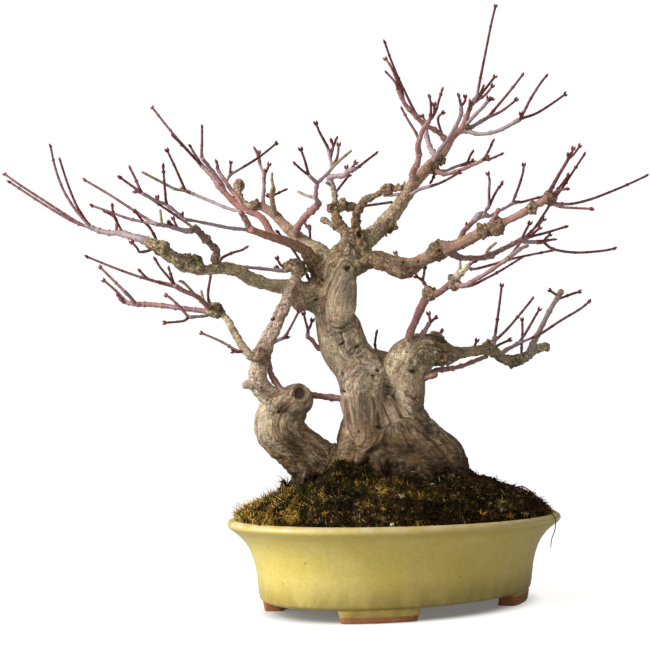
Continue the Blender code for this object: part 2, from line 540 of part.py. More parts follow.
def build_screen(name, side, parts):
    """A square of mesh over a drain hole: a plate with rows of square holes."""
    x, y = turned(side * DRAIN_REACH, 0.0)
    base = FLOOR_TOP + GAP
    centre = (x, y, base + SCREEN_THICKNESS / 2)
    screen = add_box(name, centre, (SCREEN_SIDE, SCREEN_SIDE, SCREEN_THICKNESS), parts)
    holes = new_collection(name + "_holes")
    middle = (SCREEN_ROWS - 1) / 2
    for row in range(SCREEN_ROWS):
        for column in range(SCREEN_ROWS):
            across = side * DRAIN_REACH + (column - middle) * SCREEN_PITCH
            hole_x, hole_y = turned(across, (row - middle) * SCREEN_PITCH)
            size = (SCREEN_HOLE, SCREEN_HOLE, 4 * SCREEN_THICKNESS)
            add_box("hole", (hole_x, hole_y, base), size, holes)
    boolean(screen, "DIFFERENCE", holes)
    return screen


def add_box(name, centre, size, collection):
    """A box in the pot's own turn."""
    place = [value * MM for value in centre]
    bpy.ops.mesh.primitive_cube_add(size=MM, location=place, rotation=(0, 0, POT_TURN))
    obj = bpy.context.object
    obj.name = name
    obj.scale = size
    bpy.ops.object.transform_apply(location=False, rotation=True, scale=True)
    move_to(obj, collection)
    return obj


# Soil and moss

def soil_height(share, angle):
    """Height of the soil at a share of the way to the pot's edge: a full mound with low bumps."""
    mound = SOIL_RISE * (1 - share ** SOIL_FULLNESS)
    bumps = np.sin(5 * angle + 6 * share) * np.sin(9 * share + 1.3)
    bumps = bumps + 0.6 * np.sin(11 * angle - 4 * share)
    return SOIL_EDGE_HEIGHT + mound + SOIL_BUMP * bumps * share * (1 - share ** 6)


def pad_radius(angle, grow=0.0):
    """How far the root pad reaches in a direction from its middle, with low lobes between its roots."""
    long, wide = PAD_HALF_LENGTH + grow, PAD_HALF_WIDTH + grow
    plain = 1 / np.sqrt((np.cos(angle) / long) ** 2 + (np.sin(angle) / wide) ** 2)
    return plain * (1 + PAD_LOBE_DEPTH * np.cos(PAD_LOBES * angle + 0.8))


def pad_ring(share, height, grow=0.0):
    angle = np.linspace(0, 2 * math.pi, PAD_STEPS, endpoint=False)
    reach = pad_radius(angle, grow / share) * share
    x, y = PAD_X + POT_X + reach * np.cos(angle), PAD_Y + POT_Y + reach * np.sin(angle)
    return np.column_stack([x, y, np.full(len(x), height)])


def build_soil(parts):
    angle = np.linspace(0, 2 * math.pi, POT_STEPS, endpoint=False)
    walls = [oval(inset + GAP, height + GAP) for inset, height in POT_INSIDE[:1:-1]]
    top = [oval(SOIL_EDGE_INSET, soil_height(share, angle), share) for share in SOIL_SHARES]
    soil = loft("soil", walls + top, parts)
    hollows = new_collection("hollows")
    rings = [pad_ring(share, height, GAP) for share, height in PAD_SECTION[:3]]
    rings[0][:, 2] -= GAP
    loft("pad_hole", rings + [pad_ring(1.0, SOIL_EDGE_HEIGHT + 2 * SOIL_RISE, GAP)], hollows)
    for side in (-1, 1):
        x, y = turned(side * DRAIN_REACH, 0.0)
        size = [SCREEN_SIDE + 2 * GAP, SCREEN_SIDE + 2 * GAP, 2 * (SCREEN_THICKNESS + 2 * GAP)]
        add_box("screen_recess", (x, y, FLOOR_TOP), size, hollows)
    boolean(soil, "DIFFERENCE", hollows)
    return soil


def edge_radius(angle):
    """How far the soil's edge is from the pot's middle, in a direction in the tree's axes."""
    long, wide = POT_HALF_LENGTH - SOIL_EDGE_INSET, POT_HALF_WIDTH - SOIL_EDGE_INSET
    own = angle - POT_TURN
    return 1 / np.sqrt((np.cos(own) / long) ** 2 + (np.sin(own) / wide) ** 2)


def build_moss(name, soil, start, end, steps, thick, parts):
    """A cushion of moss from the root pad to the rim, between two directions in degrees, cut to the soil."""
    angle = np.radians(np.linspace(start, end, steps))[:, None]
    out = np.linspace(0, 1, MOSS_ROWS)[None, :]
    inner = pad_radius(angle) + MOSS_CLEAR
    edge = 0.985 * edge_radius(angle)
    ragged = 0.5 + 0.5 * np.sin(3.1 * angle * 4 + 0.7)
    outer = edge * (1 - 0.05 * ragged)
    reach_x = (PAD_X + inner * np.cos(angle)) * (1 - out) + outer * np.cos(angle) * out
    reach_y = (PAD_Y + inner * np.sin(angle)) * (1 - out) + outer * np.sin(angle) * out
    direction = np.arctan2(reach_y, reach_x)
    share = np.hypot(reach_x, reach_y) / edge_radius(direction)
    ground = soil_height(share, direction - POT_TURN)
    swell = np.sqrt(np.clip(np.sin(math.pi * (0.06 + 0.9 * out)), 0, 1))
    ends = np.sqrt(np.clip(np.sin(math.pi * np.linspace(0.03, 0.97, steps)), 0, 1))[:, None]
    rows = np.abs(np.sin(math.pi * (2.3 * out + 0.5 * np.sin(3 * angle))))
    cushions = np.abs(np.sin(7 * angle + 2.0 * out)) * rows
    top = ground + 1.2 + ends * swell * (thick + MOSS_BUMP * cushions)
    lower = np.dstack([reach_x + POT_X, reach_y + POT_Y, ground - MOSS_SINK])
    upper = np.dstack([reach_x + POT_X, reach_y + POT_Y, top])
    rings = [np.vstack([low, high[::-1]]) for low, high in zip(lower, upper)]
    moss = loft(name, rings, parts)
    raised = new_collection("raised_soil")
    copy = add_object("raised_soil", soil.data, raised)
    copy.location.z = GAP * MM
    boolean(moss, "DIFFERENCE", raised)
    return moss


# The tree

def from_sheet(sheet, depth):
    """Places of sheet points in space, each on its line of sight at its depth behind the pot's centre."""
    right = (sheet[:, 0] - SHEET_MIDDLE) / SIGHT_SQUARES
    rise = (SHEET_MIDDLE - sheet[:, 1]) / SIGHT_SQUARES
    forward = math.cos(EYE_PITCH) - rise * math.sin(EYE_PITCH)
    upward = math.sin(EYE_PITCH) + rise * math.cos(EYE_PITCH)
    reach = (EYE_AHEAD + depth) / forward
    x = POT_X + EYE_SIDE + reach * right
    return np.column_stack([x, POT_Y + depth, EYE_HEIGHT + reach * upward])


def numbers(text):
    return np.array([float(value) for value in text.split()])


def spread(text, steps):
    """Values spread evenly over a route, read off at its points."""
    values = numbers(text)
    return np.interp(steps, np.linspace(0, 1, len(values)), values)


def nearest_on(path, point):
    """The place on a parent's route that is nearest to a sheet point, and its depth."""
    start, step = path.sheet[:-1], np.diff(path.sheet, axis=0)
    span = np.maximum(np.hypot(*step.T), 1e-6)
    left_beyond = np.append(np.cumsum(span[::-1])[::-1][1:], 0)
    furthest = np.clip(1 - (ROOT_SETBACK - left_beyond) / span, 0, 1)
    along = np.clip(((point - start) * step).sum(axis=1) / span ** 2, 0, furthest)
    foot = start + along[:, None] * step
    best = int(np.argmin(((foot - point) ** 2).sum(axis=1)))
    return foot[best], path.depth[best] + along[best] * (path.depth[best + 1] - path.depth[best])


def trace(shoot, paths):
    """Follows a shoot from its root, sunk to the middle of its parent, out to its tip."""
    sheet = np.array([[float(value) for value in pair.split(",")] for pair in shoot.route.split()])
    steps = np.linspace(0, 1, len(sheet))
    width = spread(shoot.widths, steps)
    if shoot.depths:
        depth = spread(shoot.depths, steps)
    else:
        length = np.append(0, np.cumsum(np.hypot(*np.diff(sheet, axis=0).T))) * SHEET_SQUARE
        depth = length * TWIG_LEAN * math.sin(0.9 * sheet[-1, 0] + 1.7 * sheet[-1, 1])
    if shoot.parent:
        root, root_depth = nearest_on(paths[shoot.parent], sheet[0])
        depth = depth + root_depth
        sunk = int(np.hypot(*(sheet[0] - root)) < ROOT_SINK)
        sheet = np.vstack([root, sheet[sunk:]])
        depth = np.append(root_depth, depth[sunk:])
        width = np.append(ROOT_TAPER * width[0], width[sunk:])
    size = SHEET_SQUARE / 2 * (EYE_AHEAD + depth) / EYE_AHEAD
    return Path(sheet, depth, from_sheet(sheet, depth), width * size)


def smooth(values, times):
    """A Catmull-Rom curve through rows of values, with a number of steps from each to the next."""
    ends = np.vstack([2 * values[0] - values[1], values, 2 * values[-1] - values[-2]])
    before, start, end, after = ends[:-3], ends[1:-2], ends[2:-1], ends[3:]
    t = (np.arange(times) / times)[None, :, None]
    before, start, end, after = (block[:, None, :] for block in (before, start, end, after))
    curve = 0.5 * (2 * start + (end - before) * t + (2 * before - 5 * start + 4 * end - after) * t ** 2
                   + (3 * start - before - 3 * end + after) * t ** 3)
    return np.vstack([curve.reshape(-1, values.shape[1]), values[-1:]])


def thinned(path):
    """A path without the points that lie near the straight line between the points kept around them."""
    kept, last = [0], len(path.sheet) - 1
    for index in range(1, last):
        start, end = path.centre[kept[-1]], path.centre[index + 1]
        line = (end - start) / np.linalg.norm(end - start)
        between = path.centre[kept[-1] + 1:index + 1] - start
        off = np.linalg.norm(between - (between @ line)[:, None] * line, axis=1).max()
        width_off = abs(path.radius[index] - (path.radius[kept[-1]] + path.radius[index + 1]) / 2)
        if off > STRAIGHT * SHEET_SQUARE or width_off > 0.5:
            kept.append(index)
    kept.append(last)
    return Path(*(field[kept] for field in path))


def add_triangle(collection):
    """The section of a three-sided twig, 1 mm from its middle to its corners."""
    curve = bpy.data.curves.new(TRIANGLE, "CURVE")
    spline = curve.splines.new("POLY")
    spline.points.add(2)
    for number, point in enumerate(spline.points):
        angle = 2 * math.pi * number / 3
        point.co = (MM * math.cos(angle), MM * math.sin(angle), 0, 1)
    spline.use_cyclic_u = True
    return add_object(TRIANGLE, curve, collection)


def add_tube(name, centre, radius, sides, collection):
    """A tapered tube with filled caps along points, as a curve."""
    curve = bpy.data.curves.new(name, "CURVE")
    curve.dimensions = "3D"
    if sides > 3:
        curve.bevel_depth = MM
        curve.bevel_resolution = (sides - 4) // 2
    else:
        curve.bevel_mode = "OBJECT"
        curve.bevel_object = bpy.data.objects[TRIANGLE]
        radius = radius * TWIG_SWELL
    curve.use_fill_caps = True
    spline = curve.splines.new("POLY")
    spline.points.add(len(centre) - 1)
    spline.points.foreach_set("co", np.column_stack([centre * MM, np.ones(len(centre))]).ravel())
    spline.points.foreach_set("radius", radius)
    return add_object(name, curve, collection)


def curves_to_meshes(collection):
    """Turns each curve of a collection to a mesh with its caps welded."""
    graph = bpy.context.evaluated_depsgraph_get()
    for obj in list(collection.objects):
        if obj.type != "CURVE":
            continue
        mesh = bpy.data.meshes.new_from_object(obj.evaluated_get(graph))
        bm = bmesh.new()
        bm.from_mesh(mesh)
        bmesh.ops.remove_doubles(bm, verts=bm.verts[:], dist=0.00001)
        bmesh.ops.recalc_face_normals(bm, faces=bm.faces[:])
        bm.to_mesh(mesh)
        bm.free()
        name = obj.name
        bpy.data.objects.remove(obj)
        add_object(name, mesh, collection)


def join_meshes(name, sources, collection):
    bm = bmesh.new()
    for obj in list(sources.objects):
        bm.from_mesh(obj.data)
        bpy.data.objects.remove(obj)
    bpy.data.collections.remove(sources)
    mesh = bpy.data.meshes.new(name)
    bm.to_mesh(mesh)
    bm.free()
    return add_object(name, mesh, collection)


def add_knob(paths, owner, x, y, size, proud, collection):
    path = paths[owner]
    point = np.array([[x, y]], float)
    _, depth = nearest_on(path, point[0])
    centre = from_sheet(point, np.array([depth - proud]))[0] * MM
    mesh = bpy.data.meshes.new("knob")
    bm = bmesh.new()
    bmesh.ops.create_icosphere(bm, subdivisions=2, radius=size * SHEET_SQUARE * MM)
    bmesh.ops.translate(bm, verts=bm.verts[:], vec=centre)
    bm.to_mesh(mesh)
    bm.free()
    add_object("knob", mesh, collection)


def grow_core(paths, parts):
    """The old wood: its limbs and knobs grown into one skin, then thinned to few faces."""
    limbs = new_collection("limbs")
    for shoot in LIMBS:
        path = paths[shoot.name]
        rows = smooth(np.column_stack([path.centre, path.radius]), 4)
        add_tube(shoot.name, rows[:, :3], rows[:, 3], LIMB_SIDES, limbs)
    curves_to_meshes(limbs)
    for knob in KNOBS:
        add_knob(paths, *knob, limbs)
    core = join_meshes("tree", limbs, parts)
    skin = core.modifiers.new("Skin", "REMESH")
    skin.mode = "VOXEL"
    skin.voxel_size = CORE_VOXEL * MM
    ease = core.modifiers.new("Ease", "SMOOTH")
    ease.factor = 0.5
    ease.iterations = CORE_SMOOTHING
    thin = core.modifiers.new("Thin", "DECIMATE")
    thin.ratio = CORE_KEEP
    thin.use_collapse_triangulate = True
    bake_modifiers(core)
    return core


def twig_shoots():
    """Each twig and stub as a shoot of its own."""
    for parent, routes in TWIGS.items():
        for number, route in enumerate(routes):
            yield Shoot(f"{parent}_twig_{number}", parent, "red", TWIG_WIDTHS, "", route)
    for parent, routes in STUBS.items():
        for number, route in enumerate(routes):
            yield Shoot(f"{parent}_stub_{number}", parent, "dead", STUB_WIDTHS, "", route)


def with_buds(path):
    """A twig's points and radii with the swelling of its end buds added."""
    step = path.centre[-1] - path.centre[-2]
    step = step / np.linalg.norm(step) * SHEET_SQUARE
    end = path.centre[-1]
    centre = np.vstack([path.centre[:-1], end - step * BUD_LENGTH * 0.6, end])
    swell = BUD_WIDTH / 2 * SHEET_SQUARE
    return centre, np.concatenate([path.radius[:-1], [swell, swell * 0.4]])


def build_tree(parts):
    paths = {}
    for shoot in LIMBS + BRANCHES:
        paths[shoot.name] = trace(shoot, paths)
    tree = grow_core(paths, parts)
    wood = new_collection("wood")
    triangle = add_triangle(parts)
    for shoot in BRANCHES:
        path = thinned(paths[shoot.name])
        sides = SLIM_SIDES if path.radius.mean() < SLIM_BRANCH else BRANCH_SIDES
        add_tube(shoot.name, path.centre, path.radius, sides, wood)
    for shoot in twig_shoots():
        path = thinned(trace(shoot, paths))
        if np.hypot(*(path.sheet[-1] - path.sheet[0])) < SHORTEST_TWIG:
            continue
        centre, radius = with_buds(path) if shoot.bark == "red" else (path.centre, path.radius)
        add_tube(shoot.name, centre, radius, TWIG_SIDES, wood)
    curves_to_meshes(wood)
    bpy.data.objects.remove(triangle)
    loft("pad", [pad_ring(share, height) for share, height in PAD_SECTION], wood)
    boolean(tree, "UNION", wood, "MANIFOLD")
    keep_outer_skin(tree)
    return tree


def main():
    clear_scene()
    parts = new_collection("maple_bonsai")
    finishes = {
        "pot": material("yellow_glaze", (0.52, 0.42, 0.12), 0.28),
        "soil": material("potting_soil", (0.055, 0.035, 0.02), 0.95),
        "moss_golden": material("golden_moss", (0.30, 0.23, 0.04), 0.95),
        "moss_dark": material("dark_moss", (0.035, 0.04, 0.012), 0.95),
        "tree": material("maple_bark", (0.33, 0.24, 0.16), 0.8),
        "screen": material("black_mesh", (0.02, 0.02, 0.02), 0.6),
    }
    soil = build_soil(parts)
    made = {
        "pot": build_pot(parts),
        "soil": soil,
        "moss_golden": build_moss("moss_golden", soil, 150, 262, 26, MOSS_THICK, parts),
        "moss_dark": build_moss("moss_dark", soil, 266, 318, 14, MOSS_THICK - 2, parts),
        "tree": build_tree(parts),
        "drain_screen_left": build_screen("drain_screen_left", -1, parts),
        "drain_screen_right": build_screen("drain_screen_right", 1, parts),
    }
    for name, obj in made.items():
        obj.data.materials.clear()
        obj.data.materials.append(finishes["screen" if name.startswith("drain") else name])
        obj.data.shade_smooth()
        obj.data.set_sharp_from_angle(angle=math.radians(35))


main()
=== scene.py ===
"""A leafless maple bonsai in its yellow oval pot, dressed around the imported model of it.

The old wood is grown from tubes and knobs into one skin and given bark relief. Branches, twigs and buds are
swept along the same routes that the model's solids follow. The pot, the soil and the moss are surfaces of
their own. Lengths are in millimetres until a mesh is made.
"""

from __future__ import annotations

import json
import logging
import math
from copy import copy
from dataclasses import dataclass
from enum import Enum
from typing import Callable, Iterator, NamedTuple

import bmesh
import bpy
import numpy as np
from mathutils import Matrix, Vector
from mathutils.bvhtree import BVHTree

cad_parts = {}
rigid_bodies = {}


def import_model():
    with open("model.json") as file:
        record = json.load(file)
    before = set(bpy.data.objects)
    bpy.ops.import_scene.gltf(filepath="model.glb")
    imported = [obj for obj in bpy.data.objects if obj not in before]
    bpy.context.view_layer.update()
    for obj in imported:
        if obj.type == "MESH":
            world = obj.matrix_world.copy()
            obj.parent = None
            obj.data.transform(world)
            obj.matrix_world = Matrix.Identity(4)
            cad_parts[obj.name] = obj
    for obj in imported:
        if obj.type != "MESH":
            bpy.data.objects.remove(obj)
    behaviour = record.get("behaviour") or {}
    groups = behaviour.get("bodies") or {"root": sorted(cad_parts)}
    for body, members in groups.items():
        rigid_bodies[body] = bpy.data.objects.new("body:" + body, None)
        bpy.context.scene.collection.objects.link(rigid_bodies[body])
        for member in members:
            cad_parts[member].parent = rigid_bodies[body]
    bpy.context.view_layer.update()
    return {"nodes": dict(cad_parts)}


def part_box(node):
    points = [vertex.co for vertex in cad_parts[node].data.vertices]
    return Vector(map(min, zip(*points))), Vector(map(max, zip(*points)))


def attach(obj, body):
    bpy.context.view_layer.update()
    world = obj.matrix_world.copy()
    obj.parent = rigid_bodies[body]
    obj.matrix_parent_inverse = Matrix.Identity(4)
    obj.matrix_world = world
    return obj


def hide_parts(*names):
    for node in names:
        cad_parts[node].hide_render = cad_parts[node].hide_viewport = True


log = logging.getLogger("maple_bonsai")
MM = 0.001
BODY = "root"
Array = np.ndarray


# The wood's routes, as set out for the model: a sheet of 650 squares each way, seen from the tree's front


class Shoot(NamedTuple):
    """A length of wood: widths in squares and depths in mm behind its root, spread evenly over its route."""

    name: str
    parent: str
    bark: str
    widths: str
    depths: str
    route: str


LIMBS = (
    Shoot("trunk", "", "old", "138 134 112 97 94 76 55 49 50 47 49 45 39 39 38 32", "0 0 0 -2 -5 -8",
          "402,494 400,472 393,454 386,439 380,425 374,411 368,398 362,383 357,368 348,356 343,344 339,330"
          " 335,315 334,300 335,285 338,268"),
    Shoot("left_base", "trunk", "pale", "58 55 51 48 52 47 40", "-6 -10 -16 -20 -20",
          "342,488 325,471 307,456 291,442 280,428 283,413 293,402"),
    Shoot("left_riser", "left_base", "blush", "30 25 21 20 19 17 16 14 13 12 11 10",
          "0 -4 -8 -12 -14 -10 -4 4",
          "292,402 277,399 266,393 259,384 258,372 262,357 266,343 275,326 283,309 288,297 294,283 298,272"),
    Shoot("left_main", "trunk", "olive", "36 28 17 13 14 13 12 11 15 13 12 11 8",
          "0 -10 -24 -38 -52 -66 -74 -72",
          "318,296 305,294 291,288 270,285 252,279 235,270 216,268 204,270 190,266 172,257 160,250 150,243"
          " 141,239"),
    Shoot("upper_left", "trunk", "tawny", "22 17 14 12 11 10 9 8", "0 14 32 50 64 76",
          "330,268 320,252 310,246 298,237 285,226 275,215 265,208 256,205"),
    Shoot("salmon_limb", "trunk", "coral", "18 12 10 9 8.5 8", "0 -16 -32 -48 -60",
          "318,268 305,251 290,243 275,238 262,234 250,229"),
    Shoot("rose_limb", "salmon_limb", "salmon", "9 8 7.5 7 7 7 6.5 6", "0 16 32 46 56",
          "276,240 270,232 265,222 258,215 250,212 240,207 229,197 219,186"),
    Shoot("upper_right", "trunk", "tawny", "30 21 17 16 15 14 13 13 12 12 11 10 8 7 6",
          "0 10 24 38 48 54 58",
          "352,258 363,243 376,232 387,221 397,209 405,197 412,186 418,178 425,171 432,164 440,155 445,149"
          " 451,139 457,133 463,127"),
    Shoot("right_main", "trunk", "rosy", "30 19 19 21 17 13 18 13 12 12 12 12 8 8 9 8 9",
          "0 -12 -28 -44 -58 -70 -80 -86",
          "350,264 370,259 385,262 403,268 415,265 425,259 440,251 452,247 462,243 475,236 485,231 497,225"
          " 506,221 517,216 530,209 540,203 549,198"),
    Shoot("saddle", "trunk", "old", "30 34 32 34 36", "12 16 16 10 4",
          "350,374 368,366 382,367 396,376 404,388"),
    Shoot("right_base", "trunk", "gnarled", "40 40 41 46 48 41 34 26 16", "-8 -10 -6 0 6 10 14",
          "397,420 404,402 405,389 404,375 408,363 416,355 428,351 440,352 450,353"),
    Shoot("right_low", "right_base", "olive", "15 12 11 11 13 11 10 10 12 9 9 9 9 8", "0 14 34 52 64 70",
          "450,353 460,353 470,351.5 480,350 488,349.5 495,353 502,358 510,361 518,360 526,356 531,353"
          " 536,349 543,347 549,347"),
    Shoot("right_riser", "right_base", "mauve", "12 10 8.5 8 9 9 9 8 7 7 8 9", "0 -10 -24 -40 -54 -64",
          "404,354 408,342 411,331 415,322 420,310 425,300 430,294 438,293 445,288 450,284 453,283 456,282"),
    Shoot("low_left", "left_riser", "olive", "11 9 8 7 7 8", "0 18 38 56 68",
          "258,364 248,353 240,343 232,328 226,318 217,309"),
    Shoot("crown_stem", "trunk", "craggy", "14 10 8.5 8 8", "0 14 28 38",
          "350,244 343,229 338,221 335,214 334,207"),
    Shoot("front_stem", "trunk", "craggy", "11 9 8 8 8 7 6.5 6.5 6", "0 -14 -32 -46 -56 -64",
          "355,240 356,223 357,213 361,206 366,199 375,196 385,190 395,189 403,187"),
)

# Muscles of the root flare, in low relief on the limbs
FLARES = (
    Shoot("knee", "", "old", "44 46 44 40 30", "-10 -14 -25 -28 -32",
          "364,386 365,402 366,418 370,434 376,450"),
    Shoot("muscle", "", "old", "18 22 24 24 24 24 24 22", "-16 -20 -22 -18 -14 -12 -12 -18",
          "388,396 400,408 411,419 422,428 432,436 442,445 451,456 457,468"),
    Shoot("heel", "", "old", "22 24 24 20", "-34 -40 -42 -42", "384,454 400,462 420,467 440,474"),
    Shoot("belly", "", "old", "20 24 28 28 24", "-12 -14 -15 -14 -12",
          "346,268 345,284 343,299 341,312 340,321"),
    Shoot("instep", "", "old", "20 24 26", "-20 -26 -32", "353,430 351,446 347,466"),
)

# Knobs, burls and healed cuts: the shoot each is on, its place on the sheet, its radius in squares and how
# many mm it lies in front of the shoot's middle
KNOBS = (
    ("trunk", 318, 282, 8, 6), ("trunk", 341, 254, 12, -4), ("trunk", 354, 244, 14, 4),
    ("trunk", 352, 262, 13, 2), ("trunk", 339, 323, 14, 8), ("trunk", 372, 374, 16, 6),
    ("left_base", 296, 400, 17, 4),
    ("left_riser", 262, 356, 9, 3), ("left_riser", 299, 269, 8, 0), ("left_riser", 288, 267, 5, 2),
    ("left_riser", 294, 263, 5, -2), ("left_main", 196, 263, 7, 1), ("left_main", 184, 262, 8, 0),
    ("left_main", 160, 247, 7.5, 1), ("left_main", 302, 300, 12, 3), ("low_left", 215, 310, 8.5, 0),
    ("upper_left", 256, 205, 5.5, 0), ("right_base", 436, 343, 10, 0), ("right_base", 441, 357, 8, 7),
    ("right_base", 411, 364, 15, 10), ("right_base", 408, 349, 9, 0), ("right_low", 489, 347, 7, 0),
    ("right_low", 514, 361, 6.5, 1), ("right_riser", 430, 293, 7, 2), ("right_riser", 455, 283, 6.5, 1),
    ("right_riser", 452, 278, 4.5, -1), ("right_main", 438, 251, 10, 1), ("right_main", 403, 268, 11.5, 2),
    ("right_main", 497, 226, 8, 1), ("right_main", 485, 231, 7, 1), ("right_main", 532, 208, 5.6, 1),
    ("right_main", 550, 199, 6, 0), ("upper_right", 441, 160, 5.5, 2), ("upper_right", 432, 167, 6.6, 0),
    ("upper_right", 390, 226, 7, 1), ("upper_right", 466, 129, 5, 0), ("crown_stem", 333, 207, 5.5, 1),
    ("crown_stem", 343, 205, 6.5, 0), ("crown_stem", 350, 207, 5, -1), ("front_stem", 388, 190, 6, 1),
)

